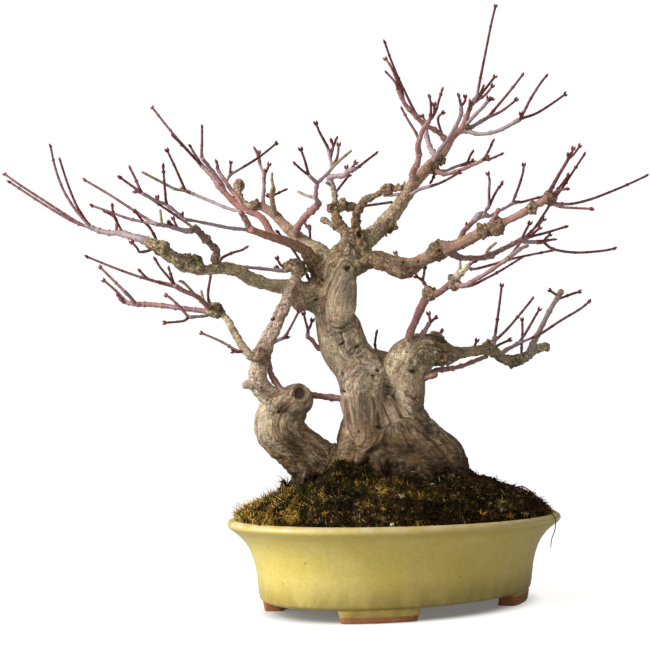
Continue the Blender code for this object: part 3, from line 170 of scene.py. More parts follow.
# Younger wood, from a finger's width down to a pencil lead's
BRANCHES = (
    Shoot("riser_nub", "left_riser", "old", "12 8 4", "-3 -4 -6", "257,384 248,384.5 242,387"),
    Shoot("riser_stub", "left_riser", "dead", "5 4", "-4 -7", "256,359 246,357"),
    Shoot("riser_pink", "left_riser", "salmon", "5 6 6 6 6 5", "8 11 11 8 6 3",
          "267,350 268,362 270,372 275,381 281,389 288,395"),
    Shoot("bridge", "left_base", "salmon", "6 6 6.5 6.5 6", "11 17 20 14 8",
          "304,394 315,395.5 328,397 343,399 352,400"),
    Shoot("riser_lilac", "left_riser", "lilac", "4 3.5 3", "", "268,344 273,342.5 283,338"),
    Shoot("cluster_lilac", "left_riser", "lilac", "4 4 3.5 3 3", "",
          "292,270 285,271 265,269 245,267 237,266"),
    Shoot("trunk_sprig", "trunk", "salmon", "5 4 4", "", "321,349 312,340 306,336"),
    Shoot("trunk_spur", "trunk_sprig", "lilac", "3.5 3", "", "308,337 308,330"),
    Shoot("left_end", "left_main", "lilac", "7.5 6.5 8 6 5.5 5.5 5", "0 8 17 25",
          "141,239 130,236 124,234 119,233 110,233 100,231 90,227"),
    Shoot("left_side", "left_main", "russet", "8 7 7 7 7.5 7 8 6.5", "0 -11 -22 -31",
          "216,266 215,260 217,252 213,247 207,240 202,236 195,229 188,231"),
    Shoot("side_lilac", "left_side", "lilac", "5 4.5 4 4", "", "188,231 178,229 168,226 154,224"),
    Shoot("salmon_end", "salmon_limb", "salmon", "7 6 5.5 5", "0 -7 -14",
          "250,229 247,222 243,216 240,211"),
    Shoot("long_lilac", "salmon_limb", "lilac", "4 3.5 3.2 3 3", "0 -14 -25 -36",
          "249,230 230,228 210,224 195,221 184,219"),
    Shoot("long_lilac_up", "long_lilac", "lilac", "3 3", "0 -8", "184,219 175,211 167,205"),
    Shoot("long_lilac_out", "long_lilac_up", "lilac", "3 2.8", "0 -11", "167,205 155,200 142,193"),
    Shoot("rose_lilac", "rose_limb", "lilac", "3.2 3", "0 17 28", "252,213 230,209 210,201 186,191"),
    Shoot("rose_end", "rose_limb", "salmon", "6 5 4.5 4", "0 8 14", "219,186 214,179 208,172 200,164"),
    Shoot("rose_end_lilac", "rose_limb", "lilac", "4 3.5 3.5", "0 -11 -20", "222,184 210,168 202,158"),
    Shoot("rose_fork", "rose_limb", "salmon", "5.5 5 4.5 4 3.5 3", "0 11 22 34",
          "243,208 238,198 232,191 226,182 219,172 217,167"),
    Shoot("fork_spur", "rose_fork", "lilac", "3.2 3", "0 11", "226,182 230,175 233,172"),
    Shoot("knuckle_stem", "upper_left", "craggy", "6 5 6 12 12", "0 6 11 14",
          "250,206 244,202 239,193 239,186 240,180"),
    Shoot("upright_lilac", "upper_left", "lilac", "4.5 4 3.5 3", "0 11 20",
          "262,207 263,198 264,188 264,175"),
    Shoot("upright_left", "upright_lilac", "lilac", "3 2.8", "0 8", "264,175 260,165 259,158"),
    Shoot("brown_stem", "upper_left", "dead", "6 5 5 4", "0 -11 -20", "277,217 274,210 272,197 273,187"),
    Shoot("inner_rose", "upper_left", "salmon", "8 7 7 7 8", "0 -17 -31 -42",
          "299,238 296,231 301,222 309,213 318,205"),
    Shoot("inner_up", "inner_rose", "lilac", "6 4.5 4 4", "0 -8 -14", "318,204 316,198 316,191 317,184"),
    Shoot("inner_left", "inner_up", "lilac", "3.5 3", "0 -7", "317,184 309,175"),
    Shoot("inner_right", "inner_up", "lilac", "3.5 3.2 3 2.8", "0 8 17", "317,184 331,169 330,158 328,148"),
    Shoot("crown_stub", "crown_stem", "craggy", "8 6 5 5", "0 11 20", "345,231 337,227 328,222 321,219"),
    Shoot("crown_up", "crown_stem", "craggy", "7 6 5.5 5 6", "0 8 14",
          "335,208 335,200 334,190 332,185 330,178"),
    Shoot("crown_lilac", "crown_up", "lilac", "6 5 5 5.5 4", "0 -8 -14",
          "330,178 337,176 343,176 349,171 357,168"),
    Shoot("crown_red", "crown_stem", "red", "3.5 3 2.4", "0 8 20", "350,206 363,206 393,202"),
    Shoot("front_lilac", "front_stem", "lilac", "3.5 3", "", "385,191 389,195 400,194"),
    Shoot("inner_riser", "upper_right", "salmon", "8 6.5 6 6 6.5 5 5 4.5 4", "0 -14 -25 -34 -39",
          "411,184 413,172 417,165 419,155 418,147 420,138 423,130 427,124 430,119"),
    Shoot("slim_riser", "upper_right", "lilac", "7 6 5 5 4.5", "0 11 20",
          "438,159 434,154 430,147 427,137 425,127"),
    Shoot("pink_riser", "upper_right", "salmon", "6 5.5 5 5 5 4.5 4", "0 -11 -22 -31",
          "447,145 443,137 435,130 425,125 415,115 405,104 398,90"),
    Shoot("front_riser", "upper_right", "lilac", "5 4.5 4 4 4 4 3.5", "-6 -22 -34 -42 -45",
          "433,163 440,150 447,141 452,133 458,122 461,114 461,106"),
    Shoot("top_stem", "upper_right", "salmon", "6 5 5 6.5", "0 11 20", "463,127 468,113 472,104 476,99"),
    Shoot("top_side", "upper_right", "lilac", "4 3.8 3.4 3.2", "0 -11 -22",
          "464,127 475,115 484,106 488,101"),
    Shoot("out_lilac", "upper_right", "lilac", "5 4 4 3.6", "0 11 22", "466,130 472,127 480,122 487,118"),
    Shoot("out_grey", "upper_right", "grey", "5 4 4 4 4 4", "0 -11 -22 -28",
          "466,131 478,134 490,133 500,130 510,125 520,119"),
    Shoot("mid_grey", "upper_right", "grey", "3.4 3 3 2.8", "0 20 31", "435,169 445,171 455,167 467,163"),
    Shoot("mid_lilac", "upper_right", "salmon", "5 4.2 4 4 3.4 3", "0 -14 -28 -36",
          "434,170 445,174 458,171 470,166 477,163 483,160"),
    Shoot("inner_lilac", "upper_right", "lilac", "4.5 3.6 3.4 3", "0 -11 -20",
          "407,190 411,194 420,189 431,186"),
    Shoot("right_riser_thin", "right_riser", "lilac", "3.6 3", "0 14", "429,291 427,288 423,281"),
    Shoot("mauve_side", "right_main", "mauve", "6 5.5 5.5 5 6", "0 11 22",
          "458,245 461,238 464,231 472,223 479,215"),
    Shoot("mauve_out", "mauve_side", "lilac", "6 6 3.5 3 3 3 4.5", "0 8 17 25",
          "479,215 485,215 490,216 497,212 505,208 512,204 517,202"),
    Shoot("mauve_up", "mauve_side", "lilac", "4 3 3.4", "0 -8", "484,215 486,210 489,206"),
    Shoot("pink_side", "right_main", "salmon", "5 4 3.5 3.5 6", "0 -11 -17",
          "485,233 490,226 494,218 497,213 499,208"),
    Shoot("right_under", "right_main", "mauve", "9 7 6 5.5 5.5 6.5 5.5 5 5 5.5 4.5", "0 17 31 42 50",
          "447,250 455,255 462,258 470,258 480,258 489,256 497,252 505,248 515,243 521,240 530,236"),
    Shoot("under_lilac", "right_under", "lilac", "4.5 4 4.5", "0 11", "519,242 530,242 543,242"),
    Shoot("riser_end", "right_riser", "olive", "9 7.5 6 6", "0 -6 -11", "456,281 459,274 463,271 469,265"),
    Shoot("long_mauve", "right_riser", "mauve", "6 5 4.5 4 4 5", "0 -17 -28 -36",
          "456,285 463,286 475,280 490,271 500,264 510,257"),
    Shoot("mauve_tip", "long_mauve", "lilac", "4.5 4 3", "", "510,257 520,249 529,245"),
    Shoot("base_lilac", "right_base", "lilac", "7 6 4.5 4.5", "-3 -8 -14",
          "421,350 421,338 426,329 430,322"),
    Shoot("base_pink", "right_base", "mauve", "7 5.5 5", "-3 -8 -11", "416,380 426,378 438,374"),
    Shoot("under_pink", "right_base", "salmon", "7 6 5 4.5 4.5 4.5 4", "8 14 17 22 31 39",
          "428,372 438,370 447,369 456,367.5 466,364.5 476,360.5 488,356"),
    Shoot("low_lilac", "right_low", "lilac", "6.5 5 4.5", "0 -8", "492,347 494,341 495,336"),
    Shoot("low_side", "right_low", "lilac", "5.5 4.5 4 4 5", "0 11 20",
          "500,355 506,350 512,347 517,344 521,342"),
    Shoot("low_up", "right_low", "grey", "8 6.5 5.5 5 5 4.5 6", "0 -8 -20 -28",
          "529,355 533,344 537,336 543,324 550,310 556,300 559,296"),
    Shoot("low_up_stub", "low_up", "dead", "5 5", "", "559,296 562,289"),
    Shoot("left_brown", "low_left", "mauve", "7 5.5 5 5 5 5", "0 14 25 34",
          "213,310 205,311 180,308 165,306 150,304.5 136,304"),
    Shoot("left_brown_fork", "left_brown", "mauve", "4.5 3.6 3.2", "0 -8", "136,304 130,297 123,290"),
    Shoot("left_brown_low", "left_brown", "mauve", "4.5 4 4.5", "0 8", "136,304 128,303 122,301"),
    Shoot("left_grey", "low_left", "grey", "3.6 3 3", "0 -14", "213,313 205,316 189,317"),
    Shoot("left_rose", "low_left", "salmon", "7 5.5 5 5 4.5 5", "0 -17 -31 -39",
          "213,309 207,306 203,302 196,296 184,291 174,285"),
)

# Last year's twigs, each with its pair of end buds, under the shoot that they grow from
TWIGS = {
    "left_end": (
        "88,226 79,223 60,211 40,198 20,185 3,173", "88,227 70,220 40,202 8,181",
        "90,226 78,213 69,200 62,187 55,167 50,144",
        "90,226 79,210 74,200 67,182 59,157", "124,231 114,216 112,203", "116,219 103,210"),
    "left_main": (
        "156,240 150,228 143,221 133,209", "150,250 140,252 137,248 130,240",
        "221,259 232,253 242,250 248,246"),
    "side_lilac": (
        "155,224 130,219 110,212 90,205", "154,223 130,208 110,195 83,179", "178,228 172,216",
        "178,229 167,221"),
    "left_side": ("191,229 181,219 160,205 142,193",),
    "long_lilac": ("184,219 181,212",),
    "long_lilac_up": ("167,205 165,190 163,164",),
    "long_lilac_out": ("142,193 118,176", "142,193 135,178 129,166", "144,194 133,190", "158,201 157,195"),
    "rose_lilac": ("186,191 183,185 175,167 166,148", "186,191 182,186"),
    "rose_end": ("201,165 190,153 170,130 151,106", "202,166 184,147 171,134", "201,164 194,153 189,144"),
    "rose_end_lilac": ("202,158 202,140 202,124",),
    "fork_spur": ("233,172 231,160", "233,172 250,163 262,155 278,142"),
    "rose_fork": ("218,169 216,160",),
    "upright_left": ("259,158 254,147", "259,158 259,150"),
    "upright_lilac": ("264,176 267,170 270,162", "265,180 266,168"),
    "brown_stem": ("272,196 287,189", "272,199 266,194"),
    "inner_left": ("309,175 305,161 300,147", "309,175 303,171 293,162"),
    "inner_right": (
        "328,148 320,133 315,121", "330,156 334,145 337,137", "331,166 337,158 339,142",
        "330,160 333,146 330,139"),
    "inner_rose": ("308,215 310,208", "303,221 310,230 309,224"),
    "upper_left": ("310,245 310,235 309,225",),
    "trunk": (
        "313,284 303,266 293,250 276,230", "316,284 312,276 307,259", "320,282 314,270 313,258",
        "322,280 317,272 317,258"),
    "crown_lilac": ("357,168 366,161 378,152", "352,170 357,161", "347,172 346,165"),
    "crown_up": ("335,194 343,183 351,173",),
    "inner_riser": (
        "419,142 416,133 408,120 401,107", "430,119 431,106 429,94", "429,120 435,113 439,100 443,87",
        "434,114 434,102",
        "428,121 421,114"),
    "slim_riser": ("425,127 415,112 405,92 398,77 391,60 384,40",),
    "pink_riser": (
        "404,102 402,92 396,78 390,65 384,57", "398,90 395,82 385,71", "443,137 438,119 445,111"),
    "front_riser": ("461,106 460,101 458,93", "461,107 465,101 465,94"),
    "top_stem": (
        "476,99 480,80 483,65 487,45 491,25 496,4", "476,99 480,94 484,85", "477,99 490,83 496,75",
        "475,101 485,95 494,84",
        "466,119 469,108 470,99"),
    "top_side": ("487,102 489,95", "487,102 494,98"),
    "out_lilac": ("487,118 500,103 510,91 524,73", "487,118 500,112 510,105 518,98"),
    "out_grey": ("520,119 530,100 540,84 548,74", "520,119 535,114 550,105 567,93", "520,120 521,111"),
    "mid_grey": ("467,163 470,156 474,150", "467,164 475,160"),
    "mid_lilac": ("483,160 488,152 494,139", "483,160 490,159 504,153", "482,160 489,154"),
    "upper_right": ("434,169 434,175 430,184",),
    "inner_lilac": ("431,186 440,183 450,178 462,171",),
    "right_riser_thin": ("423,281 414,275", "423,281 424,274 425,265"),
    "right_main": (
        "398,264 397,256 394,251", "550,197 552,189 562,170 568,160 574,154 581,144",
        "565,165 568,158 569,152",
        "567,161 571,155 574,146", "553,200 557,195 563,187 576,167 586,152",
        "553,200 556,192 562,184 570,173",
        "551,198 553,193 560,190 570,188.5", "552,203 570,204 590,199.5 610,192 630,183.5 648,175",
        "552,204 561,207 575,208 594,209", "549,202 549,206 540,220 530,234"),
    "mauve_up": ("489,206 489,191 489.5,180 487,171", "489,206 496,192 503,182"),
    "mauve_side": ("465,230 466,227 468,222",),
    "mauve_out": ("516,202 519,186 523,172 524,162", "517,202 522,202 533,199 545,196"),
    "right_under": (
        "521,240 526,230 531,221", "526,238 538,225 546,217", "529,237 535,232 542,226",
        "529,237 545,233 568,226"),
    "under_lilac": (
        "543,242 546,238 552,233", "543,242 553,249 575,252.5 601,251 617,248", "543,241 557,239"),
    "riser_end": ("469,265 477,260", "468,267 475,269 505,261 520,257 555,250"),
    "long_mauve": ("459,286 470,286 485,279 500,271 526,255", "510,257 514,251 520,243"),
    "base_lilac": ("430,322 428,311", "430,323 433,320 438,316"),
    "right_base": ("437,338 440,334 443,329",),
    "saddle": ("378,356 375,345 377,330", "391,362 392,352"),
    "right_low": (
        "473,350 475,345 478,338", "493,350 497,346 505,342 512,339", "521,358 522,340 522.5,330 522,317"),
    "low_lilac": ("495,336 498,315 500,300 502,283", "495,337 499,337 510,326 530,302 534,296"),
    "low_side": ("521,342 540,334 560,321 580,309 591,300", "520,342 525,334 536,315 541,307"),
    "low_up": ("559,296 555,294 548,289", "559,297 572,294 582,291"),
    "trunk_spur": ("308,330 306,323 303,311", "308,330 310,327 313,318"),
    "riser_lilac": ("283,338 289,330 300,309", "284,338 289,335"),
    "left_riser": ("275,325 272,317", "293,266 282,266 276,256", "291,269 281,270 275,266"),
    "low_left": (
        "248,353 236,350 220,341 199,332", "246,352 238,352 230,351",
        "211,305 208,295 210,280 213,266 218,261"),
    "left_brown_fork": ("124,291 112,279 99,266",),
    "left_brown_low": ("126,303 115,290 102,279", "122,301 117,294"),
    "left_grey": ("189,317 180,307 169,297 164,295", "189,317 183,321 162,323"),
    "left_rose": (
        "174,285 150,280 120,270 85,256", "175,285 170,279 160,267 154,257", "175,286 172,278 168,266",
        "154,281 147,278 138,269"),
}

# Dead or pruned ends, without buds
STUBS = {
    "side_lilac": ("158,224 160,209",),
    "rose_lilac": ("187,191 175,189 165,184 141,171.5",),
    "brown_stem": ("274,190 272,181 272,172",),
    "inner_up": ("316,199 312,197 305,195 297,191",),
    "inner_right": ("331,169 339,161 352,150",),
    "crown_up": ("331,186 325,182",),
    "front_stem": ("402,187 405,181", "398,189 399,183"),
    "upper_right": ("380,226 387,237",),
    "right_under": ("486,256 488,250 497,242",),
    "riser_end": ("459,275 460,268 460,261",),
    "low_left": ("211,306 204,301 201,290",),
    "left_rose": ("197,297 184,283 178,281",),
    "right_low": ("458,358 452,362 446,366",),
}


# Numbers and curves


def linear(colour: str) -> Array:
    """Turns six hexadecimal digits to linear red, green and blue."""
    shown = np.array([int(colour[start:start + 2], 16) for start in (0, 2, 4)]) / 255
    return np.where(shown <= 0.04045, shown / 12.92, ((shown + 0.055) / 1.055) ** 2.4)


def unit(vectors: Array) -> Array:
    """Brings each vector to a length of one."""
    return vectors / np.maximum(np.linalg.norm(vectors, axis=-1, keepdims=True), 1e-9)


def rise(low: float, high: float, values: Array) -> Array:
    """Goes smoothly from 0 below the first value to 1 above the second."""
    part = np.clip((values - low) / (high - low), 0, 1)
    return part * part * (3 - 2 * part)


def hill(distance: Array, width: float) -> Array:
    """A bell curve of height 1: e to the power of minus the square of distance over width."""
    return np.exp(-(distance / width) ** 2)


def lattice(cells: Array, seed: int) -> Array:
    """Random values from 0 to 1 at whole-number points, the same each run: an integer hash of the point."""
    x, y, z = (cells[..., axis].astype(np.int64) for axis in range(3))
    mixed = (x * 73856093) ^ (y * 19349663) ^ (z * 83492791) ^ (seed * 39916801)
    mixed = ((mixed ^ (mixed >> 13)) * 1274126177) & 0x7FFFFFFF
    return ((mixed ^ (mixed >> 16)) & 0xFFFFF) / 0xFFFFF


def noise(points: Array, seed: int = 0, octaves: int = 1) -> Array:
    """Smooth random values round 0: lattice values eased between cells, halved in size for each octave."""
    total = np.zeros(points.shape[:-1])
    for octave in range(octaves):
        scaled = points * 2 ** octave
        cells = np.floor(scaled)
        part = scaled - cells
        part = part * part * (3 - 2 * part)
        for corner in np.ndindex(2, 2, 2):
            weight = np.prod(np.where(np.array(corner, bool), part, 1 - part), axis=-1)
            total += weight * (2 * lattice(cells + corner, seed + octave) - 1) / 2 ** octave
    return total


class Layer(NamedTuple):
    """A layer of smooth noise: how high it stands, how large its lumps are, its seed and its octaves."""

    height: float
    size: float
    seed: int
    octaves: int = 1

    def at(self, points: Array) -> Array:
        """Its height at each point."""
        return self.height * noise(points / self.size, self.seed, self.octaves)


class Seams(NamedTuple):
    """Thin wandering lines, where smooth noise passes through zero: their depth, spacing, seed and width."""

    depth: float
    size: float
    seed: int
    width: float

    def at(self, points: Array) -> Array:
        """Their height at each point, below zero on a line."""
        away = np.abs(noise(points / self.size, self.seed, 2)) / self.width
        return -self.depth * np.clip(1 - away, 0, 1)


class Band(NamedTuple):
    """A change up the wood, from one height over the ground to another, with a ragged edge.

    The loss is how much red, green and blue light the bark loses beyond it.
    """

    low: float
    high: float
    edge: Layer
    loss: tuple[float, float, float] = (0.0, 0.0, 0.0)

    def over(self, points: Array, raised: float | Array = 0.0) -> Array:
        """How far over the band each point is, from 0 to 1, with the band so many mm higher there."""
        return rise(self.low + raised, self.high + raised, points[:, 2] + self.edge.at(points))


def numbers(text: str) -> Array:
    """Reads the numbers of a line of text."""
    return np.array([float(value) for value in text.split()])


def spread(text: str, steps: Array) -> Array:
    """Reads values spread evenly over a route, off at its steps from 0 to 1."""
    values = numbers(text)
    return np.interp(steps, np.linspace(0, 1, len(values)), values)


def smooth(rows: Array, times: int) -> Array:
    """A Catmull-Rom curve through rows of values, with a number of steps from each row to the next."""
    ends = np.vstack([2 * rows[0] - rows[1], rows, 2 * rows[-1] - rows[-2]])
    before, start, end, after = (block[:, None, :] for block in (ends[:-3], ends[1:-2], ends[2:-1], ends[3:]))
    t = (np.arange(times) / times)[None, :, None]
    curve = 0.5 * (2 * start + (end - before) * t + (2 * before - 5 * start + 4 * end - after) * t ** 2
                   + (3 * start - before - 3 * end + after) * t ** 3)
    return np.vstack([curve.reshape(-1, rows.shape[1]), rows[-1:]])


def evenly(rows: Array, step: float) -> tuple[Array, Array]:
    """Reads a curve off at even distances.

    Args:
        rows: points in the first three columns, other values in the rest.
        step: the distance wanted from row to row, in mm.

    Returns:
        The distance along the curve of each new row, and the new rows.
    """
    run = np.append(0, np.cumsum(np.linalg.norm(np.diff(rows[:, :3], axis=0), axis=1)))
    even = np.linspace(0, run[-1], max(4, math.ceil(run[-1] / step) + 1))
    return even, np.column_stack([np.interp(even, run, column) for column in rows.T])


# Meshes


def tube_faces(rings: int, sides: int) -> Array:
    """Quads that join a tube's rings, facing out where the rings turn about the way they go."""
    row, column = np.meshgrid(np.arange(rings - 1), np.arange(sides), indexing="ij")
    after = (column + 1) % sides
    low, high = row * sides, (row + 1) * sides
    return np.stack([low + column, low + after, high + after, high + column], axis=-1).reshape(-1, 4)


def end_fans(rings: int, sides: int) -> Array:
    """Triangles that close a tube: its first ring to the point after all rings, its last to the next."""
    column = np.arange(sides)
    after = (column + 1) % sides
    last, root = (rings - 1) * sides, rings * sides
    start = np.column_stack([np.full(sides, root), after, column])
    end = np.column_stack([last + column, last + after, np.full(sides, root + 1)])
    return np.vstack([start, end])


class Skin:
    """Gathers patches of points, faces and values on points, and makes one mesh object of them."""

    def __init__(self) -> None:
        """Starts with nothing."""
        self.points: list[Array] = []
        self.faces: list[Array] = []
        self.values: dict[str, list[Array]] = {}
        self.count = 0

    def add(self, points: Array, faces: list[Array], **values: Array) -> None:
        """Adds a patch.

        Args:
            points: its points in mm, in rows.
            faces: blocks of quads and triangles that number the patch's own points.
            values: for each attribute, three numbers for every point, or three for all.
        """
        self.faces += [block + self.count for block in faces]
        self.points.append(points)
        self.count += len(points)
        for name, value in values.items():
            self.values.setdefault(name, []).append(np.broadcast_to(value, (len(points), 3)))

    def add_tube(self, rings: Array, root: Array, tip: Array, **values: Array) -> None:
        """Adds a tube closed at both ends.

        Args:
            rings: its points as rings, sides and coordinates.
            root: the point that closes its first ring.
            tip: the point that closes its last ring.
            values: for each attribute, three numbers for each ring, or three for all.
        """
        count, sides = rings.shape[:2]
        points = np.vstack([rings.reshape(-1, 3), root, tip])
        wide = {}
        for name, value in values.items():
            each = np.broadcast_to(value, (count, 3))
            wide[name] = np.vstack([np.repeat(each, sides, axis=0), each[:1], each[-1:]])
        self.add(points, [tube_faces(count, sides), end_fans(count, sides)], **wide)

    def build(self, name: str) -> bpy.types.Object:
        """Makes the mesh object, smooth shaded, with an attribute for each kind of value."""
        mesh = bpy.data.meshes.new(name)
        faces = [face for block in self.faces for face in block.tolist()]
        mesh.from_pydata(np.vstack(self.points) * MM, [], faces)
        for title, blocks in self.values.items():
            layer = mesh.attributes.new(title, "FLOAT_VECTOR", "POINT")
            layer.data.foreach_set("vector", np.vstack(blocks).astype(np.float32).ravel())
        mesh.shade_smooth()
        obj = bpy.data.objects.new(name, mesh)
        bpy.context.scene.collection.objects.link(obj)
        return obj


def mesh_points(mesh: bpy.types.Mesh) -> Array:
    """Reads a mesh's points, in mm."""
    points = np.empty(len(mesh.vertices) * 3)
    mesh.vertices.foreach_get("co", points)
    return points.reshape(-1, 3) / MM


def mesh_normals(mesh: bpy.types.Mesh) -> Array:
    """Reads the outward direction at each of a mesh's points."""
    normals = np.empty(len(mesh.vertices) * 3, np.float32)
    mesh.vertex_normals.foreach_get("vector", normals)
    return normals.reshape(-1, 3).astype(float)


def bake_modifiers(obj: bpy.types.Object) -> None:
    """Gives an object the mesh that its modifiers make, and clears them."""
    graph = bpy.context.evaluated_depsgraph_get()
    mesh = bpy.data.meshes.new_from_object(obj.evaluated_get(graph))
    obj.modifiers.clear()
    obj.data = mesh


def thin_out(obj: bpy.types.Object, share: float) -> None:
    """Merges an object's flattest faces until only a share of them is left."""
    fewer = obj.modifiers.new("Fewer", "DECIMATE")
    fewer.ratio = share
    bake_modifiers(obj)
    obj.data.shade_smooth()


def keep_outer_skin(obj: bpy.types.Object) -> None:
    """Keeps only an object's largest shell: what remeshing sealed inside it goes."""
    bm = bmesh.new()
    bm.from_mesh(obj.data)
    waiting, shells = set(bm.verts), []
    while waiting:
        shell, front = set(), [waiting.pop()]
        while front:
            vert = front.pop()
            shell.add(vert)
            near = {edge.other_vert(vert) for edge in vert.link_edges} & waiting
            waiting -= near
            front.extend(near)
        shells.append(shell)
    shells.sort(key=len)
    bmesh.ops.delete(bm, geom=[vert for shell in shells[:-1] for vert in shell])
    bm.to_mesh(obj.data)
    bm.free()


def scatter(points: Array, faces: Array, count: int, seed: int) -> tuple[Array, Array]:
    """Drops points evenly over a surface.

    Args:
        points: the surface's points.
        faces: its quads.
        count: how many points to drop.
        seed: which draw to make.

    Returns:
        The dropped points and the outward direction at each.
    """
    draw = np.random.default_rng(seed)
    corners = np.concatenate([points[faces[:, [0, 1, 2]]], points[faces[:, [0, 2, 3]]]])
    cross = np.cross(corners[:, 1] - corners[:, 0], corners[:, 2] - corners[:, 0])
    area = np.linalg.norm(cross, axis=1)
    chosen = draw.choice(len(area), count, p=area / area.sum())
    across, along = draw.random((2, count, 1))
    folded = across + along > 1
    across, along = np.where(folded, 1 - across, across), np.where(folded, 1 - along, along)
    first, second, third = corners[chosen].transpose(1, 0, 2)
    places = first + across * (second - first) + along * (third - first)
    return places, unit(cross[chosen])


def strands(roots: Array, ways: Array, length: Array, width: Array, bend: Array) -> tuple[Array, list[Array]]:
    """Makes many three-sided blades at once, each of two lengths that end in a point.

    Args:
        roots: where each starts.
        ways: the direction each grows in.
        length: how long each is.
        width: how thick each is at its root.
        bend: how far each one's point is pulled aside, as a vector.

    Returns:
        Points, seven for each blade, and blocks of their quads and triangles.
    """
    ways = unit(ways)
    side = unit(np.cross(ways, np.roll(ways, 1, axis=1) + 0.31))
    lift = np.cross(ways, side)
    angle = np.arange(3) * 2 * math.pi / 3
    ring = side[:, None] * np.cos(angle)[:, None] + lift[:, None] * np.sin(angle)[:, None]
    length, width = length[:, None], width[:, None]
    middle = roots + ways * length * 0.55 + bend * 0.3
    tip = roots + ways * length + bend
    low = roots[:, None] + ring * width[:, None] / 2
    high = middle[:, None] + ring * width[:, None] * 0.4
    points = np.concatenate([low, high, tip[:, None]], axis=1).reshape(-1, 3)
    start = 7 * np.arange(len(roots))[:, None, None]
    column = np.arange(3)
    after = (column + 1) % 3
    quads = np.column_stack([column, after, after + 3, column + 3])
    ends = np.vstack([[0, 2, 1], np.column_stack([column + 3, after + 3, np.full(3, 6)])])
    return points, [(start + quads).reshape(-1, 4), (start + ends).reshape(-1, 3)]


class MarkKind(Enum):
    """What a feature of the old bark looks like."""

    # A pit, a crease, a wrinkle's troughs and a hollow are painted darker where they sink: painted shade.
    PIT = "a hole or slit"
    CREASE = "a long fold between two muscles of wood"
    CUT = "a healed cut: a sunken disc of wood in a raised collar"
    WHORL = "rings round an eye"
    SCAR = "rings of brown wood in a knob"
    WRINKLE = "folds one under another"
    # Mostly painted shade: a shallow dip painted dark, also laid on the shaded undersides of limbs.
    HOLLOW = "a broad hollow, darker than the bark round it"


class Mark(NamedTuple):
    """A feature of the bark: its place and half sizes on the sheet, its turn in degrees, its relief in mm."""

    kind: MarkKind
    x: float
    y: float
    across: float
    down: float
    turn: float
    relief: float


# The features of each kind: place and half sizes on the sheet, turn and relief
MARK_PLACES = {
    MarkKind.CUT: (
        (300, 393, 7.0, 7.8, 10, 1.6), (254, 429, 2.6, 4.0, 25, 0.9),
    ),
    MarkKind.SCAR: (
        (319, 282, 5.4, 6.0, 0, 1.2), (442, 357, 6.4, 6.2, 0, 1.3), (439, 251, 5.0, 5.0, 0, 0.9),
        (430, 293, 4.2, 3.8, 0, 0.4),
    ),
    MarkKind.PIT: (
        (342, 343.5, 4.6, 1.2, -28, 3.0), (358, 346.5, 4.0, 1.2, -29, 2.8), (343, 391, 4.4, 1.5, 12, 1.8),
        (380, 427, 4.8, 1.8, 8, 2.2), (378, 370, 2.8, 2.2, 20, 2.6), (373, 376, 2.6, 1.8, 40, 2.2),
        (342, 374, 1.6, 1.5, 0, 1.5), (348, 268, 4.2, 3.4, 0, 3.6), (360, 234, 3.0, 4.0, 0, 3.2),
        (279, 411, 2.4, 1.7, 0, 1.8), (358, 432, 1.8, 1.4, 0, 1.4), (440, 251, 1.5, 1.6, 0, 1.6),
        (413, 371, 5.0, 1.6, 10, 2.2), (316, 300, 3.4, 2.0, -30, 1.6), (404, 262, 2.4, 1.6, 30, 1.5),
        (418, 262, 1.6, 2.4, 10, 1.4), (262, 388, 1.6, 1.4, 0, 1.2),
    ),
    MarkKind.CREASE: (
        (284, 412, 23.0, 1.2, 7, 1.1), (391, 389, 13.0, 1.7, 62, 2.6), (417, 417, 27.0, 1.5, 44, 1.7),
        (411, 396, 10.0, 1.6, 40, 2.0),
    ),
    MarkKind.WRINKLE: (
        (405, 447, 26.0, 8.0, 2, 1.6), (327, 333, 6.0, 7.0, 38, 0.5), (350, 352, 9.0, 6.0, -28, 0.5),
        (340, 330, 10.0, 7.0, -4, 1.9), (360, 353, 12.0, 7.0, -28, 0.4), (430, 462, 20.0, 7.0, 24, 0.8),
        (345, 440, 14.0, 7.0, -25, 0.4),
    ),
    # Patches of painted shade, each with a shallow dip: in hollows of the flare and trunk, and on the undersides
    # of limbs.
    MarkKind.HOLLOW: (
        (404, 448, 34.0, 12.0, 2, 1.5), (346, 286, 9.0, 26.0, 4, 0.3), (403, 266, 24.0, 7.0, 8, 0.3),
        (283, 409, 20.0, 7.0, 24, 0.3), (396, 398, 8.0, 20.0, -22, 1.2), (342, 326, 12.0, 7.0, -8, 0.5),
        (362, 402, 9.0, 26.0, 12, 0.2), (296, 448, 12.0, 22.0, -40, 0.3), (300, 266, 20.0, 4.0, 28, 0.2),
        (424, 424, 20.0, 6.0, 44, 0.4),
    ),
    MarkKind.WHORL: (
        (412, 362, 7.5, 7.0, 0, 0.9), (341, 254, 8.0, 7.0, 0, 0.5),
    ),
}
MARKS = tuple(Mark(kind, *row) for kind, places in MARK_PLACES.items() for row in places)


